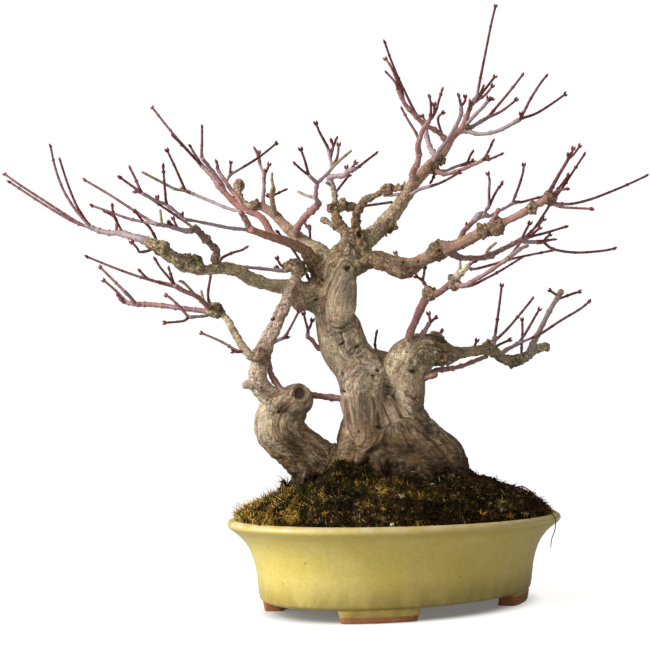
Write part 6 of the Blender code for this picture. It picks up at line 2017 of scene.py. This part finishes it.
class Groups:
    """The node groups that the finishes share."""

    def __init__(self) -> None:
        """Makes each group."""
        self.fissures = self.make("Fissures", self.draw_fissures, {"Scale": 1.0, "Width": 0.05})
        self.crazing = self.make("Crazing", self.draw_crazing, {"Scale": 0.3, "Width": 0.06})
        self.crags = self.make("Crags", self.draw_crags, {"Scale": 0.4, "Width": 0.15})
        self.mottle = self.make("Mottle", self.draw_mottle, {"Scale": 0.1, "Contrast": 0.2})
        self.speckle = self.make("Speckle", self.draw_speckle, {"Scale": 0.5, "Size": 0.3})

    def make(self, name: str, draw: Callable[[Wiring, bpy.types.NodeOutputs], Value],
             settings: dict[str, float]) -> bpy.types.NodeTree:
        """Makes a group that takes a vector and settings and puts out a value.

        Args:
            name: the group's name.
            draw: adds the group's nodes and returns the value to put out.
            settings: names and defaults of its settings.

        Returns:
            The group's tree.
        """
        tree = bpy.data.node_groups.new(name, "ShaderNodeTree")
        tree.interface.new_socket("Vector", in_out="INPUT", socket_type="NodeSocketVector")
        for title, value in settings.items():
            socket = tree.interface.new_socket(title, in_out="INPUT", socket_type="NodeSocketFloat")
            socket.default_value = value
        tree.interface.new_socket("Value", in_out="OUTPUT", socket_type="NodeSocketFloat")
        entry = tree.nodes.new("NodeGroupInput")
        leave = tree.nodes.new("NodeGroupOutput")
        tree.links.new(draw(Wiring(tree), entry.outputs), leave.inputs[0])
        return tree

    def draw_fissures(self, wiring: Wiring, entry: bpy.types.NodeOutputs) -> Value:
        """Thin wandering lines: where noise is near its middle value, broken up by coarser noise."""
        line = wiring.add("TexNoise", {"Vector": entry["Vector"], "Scale": entry["Scale"], "Detail": 4.0,
                                       "Roughness": 0.55, "Distortion": 0.6}).outputs["Fac"]
        off = wiring.math("ABSOLUTE", wiring.math("SUBTRACT", line, 0.5))
        inside = wiring.math("SUBTRACT", 1.0, wiring.math("DIVIDE", off, entry["Width"]))
        patchy = wiring.fit(wiring.noise(entry["Vector"], 0.18, 1.0), 0.38, 0.58)
        return wiring.times(wiring.math("MAXIMUM", inside, 0.0), patchy)

    def borders(self, wiring: Wiring, entry: bpy.types.NodeOutputs, stir_scale: float, detail: float,
                reach: float) -> Value:
        """Lines along the borders of cells whose places are stirred by noise.

        Args:
            wiring: what nodes are added with.
            entry: the group's vector and settings.
            stir_scale: the noise's scale.
            detail: the noise's detail.
            reach: how far it moves the cells.

        Returns:
            Values from 0 away from a border to 1 on it.
        """
        vector = entry["Vector"]
        inputs = {"Vector": vector, "Scale": stir_scale, "Detail": detail}
        stir = wiring.add("TexNoise", inputs).outputs["Color"]
        stirred = wiring.add("VectorMath", {0: stir, 1: (reach, reach, reach), 2: vector},
                             operation="MULTIPLY_ADD").outputs[0]
        inputs = {"Vector": stirred, "Scale": entry["Scale"]}
        cells = wiring.add("TexVoronoi", inputs, feature="DISTANCE_TO_EDGE")
        away = wiring.math("DIVIDE", cells.outputs["Distance"], entry["Width"])
        return wiring.math("MAXIMUM", wiring.math("SUBTRACT", 1.0, away), 0.0)

    def draw_crazing(self, wiring: Wiring, entry: bpy.types.NodeOutputs) -> Value:
        """A net of cracks, broken up by coarser noise."""
        patchy = wiring.fit(wiring.noise(entry["Vector"], 0.13, 2.0), 0.40, 0.60)
        return wiring.times(self.borders(wiring, entry, 0.35, 3.0, 3.0), patchy)

    def draw_crags(self, wiring: Wiring, entry: bpy.types.NodeOutputs) -> Value:
        """Crevices round lumps of bark, of very uneven size."""
        return self.borders(wiring, entry, 0.5, 4.0, 4.0)

    def draw_mottle(self, wiring: Wiring, entry: bpy.types.NodeOutputs) -> Value:
        """Uneven tone round 1: noise times the contrast."""
        node = wiring.add("TexNoise", {"Vector": entry["Vector"], "Scale": entry["Scale"], "Detail": 5.0,
                                       "Roughness": 0.6})
        off = wiring.math("SUBTRACT", node.outputs["Fac"], 0.5)
        return wiring.math("MULTIPLY_ADD", wiring.times(off, 4.0), entry["Contrast"], 1.0)

    def draw_speckle(self, wiring: Wiring, entry: bpy.types.NodeOutputs) -> Value:
        """Scattered dots of uneven size: the middles of cells, where noise lets them show."""
        cells = wiring.add("TexVoronoi", {"Vector": entry["Vector"], "Scale": entry["Scale"]})
        near = wiring.math("SUBTRACT", entry["Size"], cells.outputs["Distance"])
        dots = wiring.fit(near, 0.0, wiring.times(entry["Size"], 0.35))
        return wiring.times(dots, wiring.fit(wiring.noise(entry["Vector"], 0.5, 2.0), 0.45, 0.6))


class Finish:
    """A material with its wiring, its shader, its piece's coordinates in mm and its colour so far."""

    def __init__(self, name: str, groups: Groups) -> None:
        """Makes the material with a plain shader."""
        self.material = bpy.data.materials.new(name)
        self.material.use_nodes = True
        self.groups = groups
        self.wiring = Wiring(self.material.node_tree)
        self.shader = self.material.node_tree.nodes["Principled BSDF"]
        place = self.wiring.add("TexCoord").outputs["Object"]
        self.place = self.wiring.scaled(place, (1 / MM, 1 / MM, 1 / MM))
        self.colour: Value = rgba("ffffff")

    def set(self, **values: Value) -> None:
        """Sets or links the shader's colour and its other sockets, named with underscores for spaces."""
        self.wiring.put(self.colour, self.shader.inputs["Base Color"])
        for name, value in values.items():
            self.wiring.put(value, self.shader.inputs[name.replace("_", " ")])

    def group(self, tree: bpy.types.NodeTree, vector: Value, **values: Value) -> bpy.types.NodeSocket:
        """Uses a shared group on a vector."""
        node = self.wiring.add("Group", node_tree=tree)
        self.wiring.put(vector, node.inputs["Vector"])
        for name, value in values.items():
            self.wiring.put(value, node.inputs[name])
        return node.outputs[0]

    def tone(self, colour: Value, factor: Value) -> bpy.types.NodeSocket:
        """Multiplies a colour by a value."""
        grey = self.wiring.add("CombineXYZ", {0: factor, 1: factor, 2: factor}).outputs[0]
        return self.wiring.blend(1.0, colour, grey, "MULTIPLY")

    def shade(self, factor: Value) -> None:
        """Multiplies the colour so far by a value."""
        self.colour = self.tone(self.colour, factor)

    def paint(self, share: Value, colour: Value | str) -> None:
        """Lays a colour over the one so far, as strongly as a share says."""
        over = rgba(colour) if isinstance(colour, str) else colour
        self.colour = self.wiring.blend(share, self.colour, over)


@dataclass(frozen=True)
class Finishes:
    """Makes the materials."""

    groups: Groups
    pot: Array  # the pot's middle on the ground, in mm

    def old_bark(self) -> bpy.types.Material:
        """Beige, finely fissured bark with patches, speckles, grey cuts and soil at its foot, painted shade in its
        holes, crevices and folds, and painted highlights on its ridges.
        """
        finish = Finish("maple_bark_old", self.groups)
        wiring, groups, place = finish.wiring, self.groups, finish.place
        grain = wiring.attribute("grain")
        patches, speckles, radius = wiring.parts(wiring.attribute("habit"))
        hole, heart, soil = wiring.parts(wiring.attribute("marks"))
        finish.colour = wiring.attribute("tint")
        finish.shade(finish.group(groups.mottle, place, Scale=0.05, Contrast=0.32))
        finish.shade(finish.group(groups.mottle, grain, Scale=0.45, Contrast=0.26))
        patch = wiring.times(wiring.fit(wiring.noise(place, 0.10, 4.0), 0.52, 0.62), patches)
        finish.paint(patch, "8c7448")
        finish.shade(wiring.fit(wiring.noise(grain, 0.30, 4.0), 0.56, 0.70, 1.0, 1.35))
        pink = wiring.times(wiring.fit(wiring.noise(place, 0.085, 4.0), 0.50, 0.60, 0.0, 0.7), speckles)
        finish.paint(pink, "94665c")
        lilac = wiring.fit(wiring.noise(place, 0.075, 3.0), 0.54, 0.66, 0.0, 0.22)
        finish.paint(lilac, "a88c88")
        lumpy = wiring.times(wiring.fit(wiring.noise(place, 0.30, 6.0), 0.50, 0.62, 0.0, 0.42), speckles)
        finish.paint(lumpy, "5a4a30")
        dots = finish.group(groups.speckle, place, Scale=0.42, Size=0.40)
        finish.paint(wiring.times(dots, speckles), "2a2214")
        rugged = wiring.fit(speckles, 0.25, 0.9)
        crags = wiring.times(finish.group(groups.crags, place, Scale=0.34, Width=0.20), rugged)
        # Painted shade in the crevices round the lumps, which the bump below sinks.
        finish.paint(wiring.times(crags, 0.52), "33281a")
        flecks = wiring.noise(place, 0.50, 5.0, 0.8)
        finish.paint(wiring.fit(flecks, 0.55, 0.66, 0.0, 0.50), "64502f")
        finish.shade(wiring.fit(flecks, 0.44, 0.34, 1.0, 1.30))
        streaks = wiring.noise(wiring.scaled(grain, (2.2, 1.0, 1.0)), 0.55, 6.0, 0.7)
        ridges = wiring.math("MULTIPLY_ADD", wiring.noise(place, 0.33, 5.0, 0.7), 0.4,
                             wiring.times(streaks, 0.6))
        ribbed = wiring.fit(radius, 4.0, 14.0, 0.2, 1.0)
        # Painted shade in the grooves between the ridges and a painted highlight on their crests; the bump below
        # raises the ridges.
        finish.paint(wiring.times(wiring.fit(ridges, 0.46, 0.38, 0.0, 0.60), ribbed), "6c5636")
        crests = wiring.times(wiring.fit(ridges, 0.54, 0.62, 0.0, 0.30), ribbed)
        finish.shade(wiring.math("ADD", crests, 1.0))
        height = wiring.math("MULTIPLY_ADD", wiring.noise(place, 0.07, 3.0), 40.0, wiring.parts(place)[2])
        low = wiring.fit(height, 172.0, 132.0)
        folds = wiring.noise(wiring.scaled(place, (0.35, 0.35, 1.3)), 0.45, 6.0, 0.75)
        # Painted shade in the troughs of the folds low on the trunk, which the bump below sinks.
        finish.paint(wiring.times(low, wiring.fit(folds, 0.48, 0.40, 0.0, 0.85)), "2c1e10")
        stain = wiring.fit(wiring.noise(grain, 0.20, 4.0), 0.46, 0.60, 0.0, 0.55)
        finish.paint(wiring.times(stain, wiring.fit(height, 215.0, 140.0)), "6c5026")
        wide = finish.group(groups.crazing, grain, Scale=0.22, Width=0.16)
        fine = finish.group(groups.fissures, grain, Scale=0.45, Width=0.085)
        thick = wiring.fit(radius, 3.0, 16.0, 0.35, 1.0)
        cracks = wiring.times(wiring.math("MAXIMUM", wide, wiring.times(fine, 0.7)), thick)
        rusty = wiring.fit(wiring.noise(place, 0.05, 3.0), 0.42, 0.58)
        rust = wiring.blend(rusty, rgba("33241a"), rgba("583a20"))
        finish.paint(cracks, rust)
        finish.paint(wiring.fit(heart, 0.05, 0.5), "907450")
        finish.paint(wiring.fit(heart, 0.45, 0.80), "3a3028")
        soiled = wiring.times(soil, wiring.fit(wiring.noise(place, 0.22, 5.0), 0.20, 0.48))
        crumbly = wiring.noise(place, 0.45, 6.0)
        dirt = wiring.blend(wiring.fit(crumbly, 0.42, 0.66), rgba("1c130a"), rgba("4e3a26"))
        finish.paint(soiled, dirt)
        # Painted shade from the marks: near black where pits, creases, hollows and wrinkles sink.
        finish.paint(wiring.times(hole, 0.88), "1c130c")
        grit = wiring.noise(place, 0.8, 4.0)
        relief = wiring.math("MULTIPLY_ADD", grit, 0.45, wiring.times(ridges, 0.9))
        relief = wiring.math("SUBTRACT", relief, wiring.times(cracks, 0.6))
        relief = wiring.math("SUBTRACT", relief, wiring.times(crags, 1.1))
        relief = wiring.math("MULTIPLY_ADD", wiring.times(folds, low), 2.2, relief)
        finish.set(Roughness=wiring.fit(ridges, 0.3, 0.7, 0.72, 0.88),
                   Specular_IOR_Level=0.25, Normal=wiring.bump(relief, 1.0, 0.8))
        return finish.material

    def young_bark(self) -> bpy.types.Material:
        """Smooth bark of branches and twigs: waxy bloom, corky dots, scars at the nodes and painted shade in its
        crevices.
        """
        finish = Finish("maple_bark_young", self.groups)
        wiring, groups, place = finish.wiring, self.groups, finish.place
        patches, speckles, ring = wiring.parts(wiring.attribute("habit"))
        finish.colour = wiring.attribute("tint")
        finish.shade(finish.group(groups.mottle, place, Scale=0.22, Contrast=0.22))
        bloom = wiring.times(wiring.fit(wiring.noise(place, 0.15, 3.0), 0.45, 0.65), patches)
        finish.paint(wiring.times(bloom, 0.5), "bcacb6")
        patch = wiring.times(wiring.fit(wiring.noise(place, 0.24, 4.0), 0.50, 0.60), patches)
        finish.paint(patch, "86684a")
        dots = finish.group(groups.speckle, place, Scale=0.60, Size=0.40)
        finish.paint(wiring.times(dots, speckles), "3e3020")
        crags = wiring.times(finish.group(groups.crags, place, Scale=0.42, Width=0.17), speckles)
        # Painted shade in the crevices, which the bump below sinks.
        finish.paint(wiring.times(crags, 0.8), "33261a")
        finish.paint(wiring.times(ring, 0.30), "4c3028")
        height = wiring.noise(place, 0.9, 3.0)
        relief = wiring.math("SUBTRACT", wiring.times(height, 0.3), crags)
        finish.set(Roughness=wiring.fit(height, 0.3, 0.7, 0.38, 0.56),
                   Specular_IOR_Level=0.45, Normal=wiring.bump(relief, 0.5, 0.7))
        return finish.material

    def bud(self) -> bpy.types.Material:
        """Crimson bud scales, banded along the bud."""
        finish = Finish("maple_bud", self.groups)
        wiring = finish.wiring
        share = wiring.parts(wiring.attribute("habit"))[2]
        band = wiring.fit(wiring.math("SINE", wiring.times(share, 26.0)), -1.0, 1.0, 0.75, 1.15)
        finish.colour = wiring.attribute("tint")
        finish.shade(band)
        finish.shade(finish.group(self.groups.mottle, finish.place, Scale=0.6, Contrast=0.25))
        finish.set(Roughness=wiring.fit(share, 0.0, 1.0, 0.55, 0.42), Specular_IOR_Level=0.4,
                   Normal=wiring.bump(wiring.noise(finish.place, 1.2), 0.2, 0.5))
        return finish.material

    def glaze(self) -> bpy.types.Material:
        """Mustard glaze: clouded, streaked down the wall, pinholed, worn at the lip, over bare clay."""
        finish = Finish("pot_glaze", self.groups)
        wiring, groups, place = finish.wiring, self.groups, finish.place
        height = wiring.parts(place)[2]
        clouds = wiring.noise(place, 0.030, 4.0)
        streaks = wiring.noise(wiring.scaled(place, (1.0, 1.0, 0.5)), 0.10, 5.0)
        finish.colour = wiring.blend(wiring.fit(clouds, 0.34, 0.68), rgba("d0bc5c"), rgba("d6c472"))
        finish.paint(wiring.fit(streaks, 0.44, 0.76, 0.0, 0.35), "c2ae4e")
        thin = wiring.times(wiring.fit(height, 34.0, 9.5), wiring.fit(streaks, 0.3, 0.6, 0.6, 1.0))
        finish.paint(wiring.times(thin, 0.75), "8e7838")
        lip = wiring.times(wiring.fit(height, 59.0, 66.0), 0.5)
        finish.paint(lip, "b09a4c")
        finish.shade(finish.group(groups.mottle, place, Scale=0.35, Contrast=0.10))
        worn = wiring.times(wiring.fit(height, 65.5, 69.5), wiring.fit(streaks, 0.26, 0.66))
        finish.paint(wiring.times(worn, 0.75), "d2c29c")
        holes = finish.group(groups.speckle, place, Scale=0.085, Size=0.055)
        finish.paint(holes, "3e3c28")
        ragged = wiring.math("MULTIPLY_ADD", wiring.noise(place, 0.25, 3.0), 1.6, height)
        line = wiring.fit(wiring.parts(place)[1], -75.0, -55.0, 5.6, 8.8)
        bare = wiring.fit(wiring.math("SUBTRACT", line, ragged), 0.0, 0.5)
        rusty = finish.group(groups.mottle, place, Scale=0.3, Contrast=0.30)
        clay = finish.tone(rgba("a0683e"), rusty)
        finish.paint(bare, clay)
        rough = wiring.fit(clouds, 0.3, 0.7, 0.34, 0.44)
        rough = wiring.math("MAXIMUM", rough, wiring.times(wiring.math("MAXIMUM", bare, worn), 0.85))
        relief = wiring.math("SUBTRACT", wiring.noise(place, 0.30, 3.0), wiring.times(holes, 0.8))
        finish.set(Roughness=rough, Normal=wiring.bump(relief, 0.35, 0.5),
                   Coat_Weight=0.15, Coat_Roughness=0.25)
        return finish.material

    def earth(self) -> bpy.types.Material:
        """Dark potting soil with rusty and pale grit."""
        finish = Finish("soil_dark", self.groups)
        wiring, groups, place = finish.wiring, self.groups, finish.place
        coarse = wiring.noise(place, 0.12, 6.0)
        finish.colour = wiring.blend(wiring.fit(coarse, 0.40, 0.62), rgba("1c130b"), rgba("3a2616"))
        rusty = finish.group(groups.speckle, place, Scale=0.5, Size=0.4)
        finish.paint(wiring.times(rusty, 0.6), "5a3a20")
        pale = finish.group(groups.speckle, place, Scale=0.33, Size=0.16)
        finish.paint(wiring.times(pale, 0.5), "6e5a44")
        height = wiring.noise(place, 0.5, 8.0)
        finish.set(Roughness=wiring.fit(height, 0.3, 0.7, 0.88, 0.98),
                   Specular_IOR_Level=0.06, Normal=wiring.bump(height, 2.0, 0.9))
        return finish.material

    def strand(self, name: str) -> bpy.types.Material:
        """Moss, fibres and crumbs, each in the colour that it carries."""
        finish = Finish(name, self.groups)
        wiring = finish.wiring
        finish.colour = wiring.attribute("tint")
        finish.shade(finish.group(self.groups.mottle, finish.place, Scale=0.5, Contrast=0.30))
        height = wiring.noise(finish.place, 0.9, 4.0)
        finish.set(Roughness=wiring.fit(height, 0.3, 0.7, 0.78, 0.92),
                   Specular_IOR_Level=0.06, Normal=wiring.bump(height, 0.6, 0.6))
        return finish.material

    def mesh(self) -> bpy.types.Material:
        """Black plastic mesh, dusty with soil."""
        finish = Finish("screen_black", self.groups)
        wiring = finish.wiring
        dust = wiring.fit(wiring.noise(finish.place, 0.4, 4.0), 0.45, 0.7, 0.0, 0.5)
        finish.colour = wiring.blend(dust, rgba("141414"), rgba("4a3c2c"))
        finish.set(Roughness=wiring.fit(dust, 0.0, 0.5, 0.5, 0.85))
        return finish.material

    def paper(self) -> bpy.types.Material:
        """The white floor, faintly lit of its own so that it stays white between the lights, with a painted shadow
        under the pot where that glow drops for the camera.
        """
        finish = Finish("studio_paper", self.groups)
        wiring = finish.wiring
        middle = tuple(float(value) for value in self.pot)
        inputs = {"Vector": finish.place, "Location": middle, "Rotation": (0.0, 0.0, POT_TURN), "Scale": BASE_HALF}
        own = wiring.add("Mapping", inputs, vector_type="TEXTURE")
        away = wiring.add("VectorMath", {0: own.outputs[0]}, operation="LENGTH").outputs["Value"]
        far = wiring.fit(away, 2.5, 8.0)
        finish.colour = wiring.blend(far, rgba("ffffff", 0.42), rgba("000000"))
        camera = wiring.add("LightPath").outputs["Is Camera Ray"]
        # Painted shadow under the pot: the glow that the camera sees drops from 0.9 to near 0.1 inside the base's
        # oval.
        seen = wiring.times(camera, wiring.fit(away, 0.84, 1.14, 0.05, 1.0))
        near = wiring.blend(seen, rgba("ffffff", 0.10), rgba("ffffff", 0.90))
        glow = wiring.blend(far, near, rgba("ffffff"))
        finish.set(Roughness=0.9, Specular_IOR_Level=0.1,
                   Emission_Color=glow, Emission_Strength=1.0)
        return finish.material


# The studio


@dataclass(frozen=True)
class Lamp:
    """A soft light: its name, place in metres, size in metres, power in watts and colour."""

    name: str
    place: tuple[float, float, float]
    size: float
    power: float
    colour: tuple[float, float, float]


LAMPS = (
    Lamp("key", (-2.35, -1.45, 1.45), 2.3, 158.0, (1.0, 0.99, 0.97)),
    Lamp("fill", (1.7, -1.7, 0.9), 1.8, 2.4, (1.0, 0.93, 0.80)),
    Lamp("top", (-0.7, 0.3, 1.9), 1.4, 7.0, (1.0, 1.0, 1.0)),
)


@dataclass(frozen=True)
class Studio:
    """A white floor, soft lights and the camera in front of the tree."""

    sheet: Sheet
    finishes: Finishes
    floor_radius: float = 6.0
    sensor: float = 36.0
    ambient: float = 0.22
    backdrop: float = 1.05
    warm: tuple[float, float, float, float] = (1.0, 0.92, 0.76, 1.0)
    aim: tuple[float, float, float] = (0.0, 0.0, 0.25)

    def set_up(self) -> None:
        """Puts everything in its place."""
        self.add_floor()
        for lamp in LAMPS:
            self.add_lamp(lamp)
        self.add_world()
        self.add_camera()
        scene = bpy.context.scene
        scene.view_settings.view_transform = "Standard"
        scene.view_settings.look = "None"

    def add_floor(self) -> None:
        """Lays a white disc just under the feet."""
        bpy.ops.mesh.primitive_circle_add(vertices=96, radius=self.floor_radius, fill_type="NGON")
        floor = bpy.context.object
        floor.name = "studio_floor"
        floor.location.z = -0.0002
        floor.data.materials.append(self.finishes.paper())

    def add_lamp(self, lamp: Lamp) -> None:
        """Hangs a square light that faces the tree's middle."""
        light = bpy.data.lights.new(lamp.name, "AREA")
        light.size = lamp.size
        light.energy = lamp.power
        light.color = lamp.colour
        holder = bpy.data.objects.new(lamp.name, light)
        holder.location = lamp.place
        aim = Vector(self.aim) - holder.location
        holder.rotation_euler = aim.to_track_quat("-Z", "Y").to_euler()
        bpy.context.scene.collection.objects.link(holder)

    def add_world(self) -> None:
        """Surrounds the studio with white for the camera, and with a fainter, warmer light for the tree."""
        world = bpy.data.worlds.new("studio_white")
        world.use_nodes = True
        bpy.context.scene.world = world
        wiring = Wiring(world.node_tree)
        seen = wiring.add("LightPath").outputs["Is Camera Ray"]
        strength = wiring.math("MULTIPLY_ADD", seen, self.backdrop - self.ambient, self.ambient)
        back = world.node_tree.nodes["Background"]
        wiring.put(wiring.blend(seen, self.warm, rgba("ffffff")), back.inputs["Color"])
        wiring.put(strength, back.inputs["Strength"])

    def add_camera(self) -> None:
        """Stands the camera at the sheet's eye."""
        camera = bpy.data.cameras.new("front")
        camera.sensor_width = self.sensor
        camera.lens = self.sensor * self.sheet.sight / (2 * self.sheet.middle)
        holder = bpy.data.objects.new("front", camera)
        holder.location = self.sheet.eye * MM
        holder.rotation_euler = (math.pi / 2 + self.sheet.pitch, 0.0, 0.0)
        bpy.context.scene.collection.objects.link(holder)
        bpy.context.scene.camera = holder


# The whole


def dress(piece: bpy.types.Object, finish: bpy.types.Material, slot: str, *nodes: str) -> None:
    """Gives a piece its finish, puts it on its body, and hides the model's nodes that it stands for."""
    piece.data.materials.clear()
    piece.data.materials.append(finish)
    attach(piece, BODY)
    if nodes:
        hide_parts(*nodes)
    log.info("%s: %d faces", piece.name, len(piece.data.polygons))


def dress_tree(sheet: Sheet, pad: Array, finishes: Finishes, tufts: Tufts) -> None:
    """Grows the tree's pieces."""
    skeleton = Skeleton(sheet)
    old = finishes.old_bark()
    young = finishes.young_bark()
    grower = OldWood(skeleton, pad)
    old_wood = grower.grow()
    rootlets = tufts.rootlets(old_wood)
    thin_out(old_wood, grower.kept_faces)
    dress(old_wood, old, "maple_bark", "tree")
    dress(rootlets, finishes.strand("root_fibre"), "maple_bark")
    wood = YoungWood(skeleton, np.random.default_rng(8))
    dress(wood.branches(), young, "maple_bark")
    twigs, buds = wood.twigs()
    dress(twigs, young, "maple_bark")
    dress(buds, finishes.bud(), "maple_bark")


def dress_ground(tufts: Tufts, finishes: Finishes) -> None:
    """Lays the soil, the moss and the litter."""
    ground = tufts.ground
    dress(ground.soil(), finishes.earth(), "potting_soil", "soil")
    fibre = finishes.strand("soil_fibre")
    for scattered in (tufts.litter, tufts.crumbs, tufts.clumps, tufts.stray_root):
        dress(scattered(), fibre, "potting_soil")
    for cushion in CUSHIONS:
        finish = finishes.strand("moss_" + cushion.name)
        bed, upper = ground.moss(cushion, tufts)
        dress(bed, finish, cushion.slot, cushion.node)
        dress(tufts.blades(upper, cushion), finish, cushion.slot)


def main() -> None:
    """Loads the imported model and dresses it."""
    logging.basicConfig(level=logging.INFO, format="%(message)s")
    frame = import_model()
    low, high = (np.array(corner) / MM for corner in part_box("pot"))
    middle = np.append((low + high)[:2] / 2, 0.0)
    finishes = Finishes(Groups(), middle)
    dish = Dish(middle)
    dress(dish.build(), finishes.glaze(), "yellow_glaze", "pot")
    tufts = Tufts(Ground(dish), np.random.default_rng(4))
    dress_ground(tufts, finishes)
    dress_tree(Sheet(middle), middle + (PAD_X, PAD_Y, 0.0), finishes, tufts)
    mesh = finishes.mesh()
    for name, node in frame["nodes"].items():
        if name.startswith("drain_screen"):
            node.data.materials.clear()
            node.data.materials.append(mesh)
    Studio(Sheet(middle), finishes).set_up()
    bpy.context.view_layer.update()


if __name__ == "__main__":
    main()
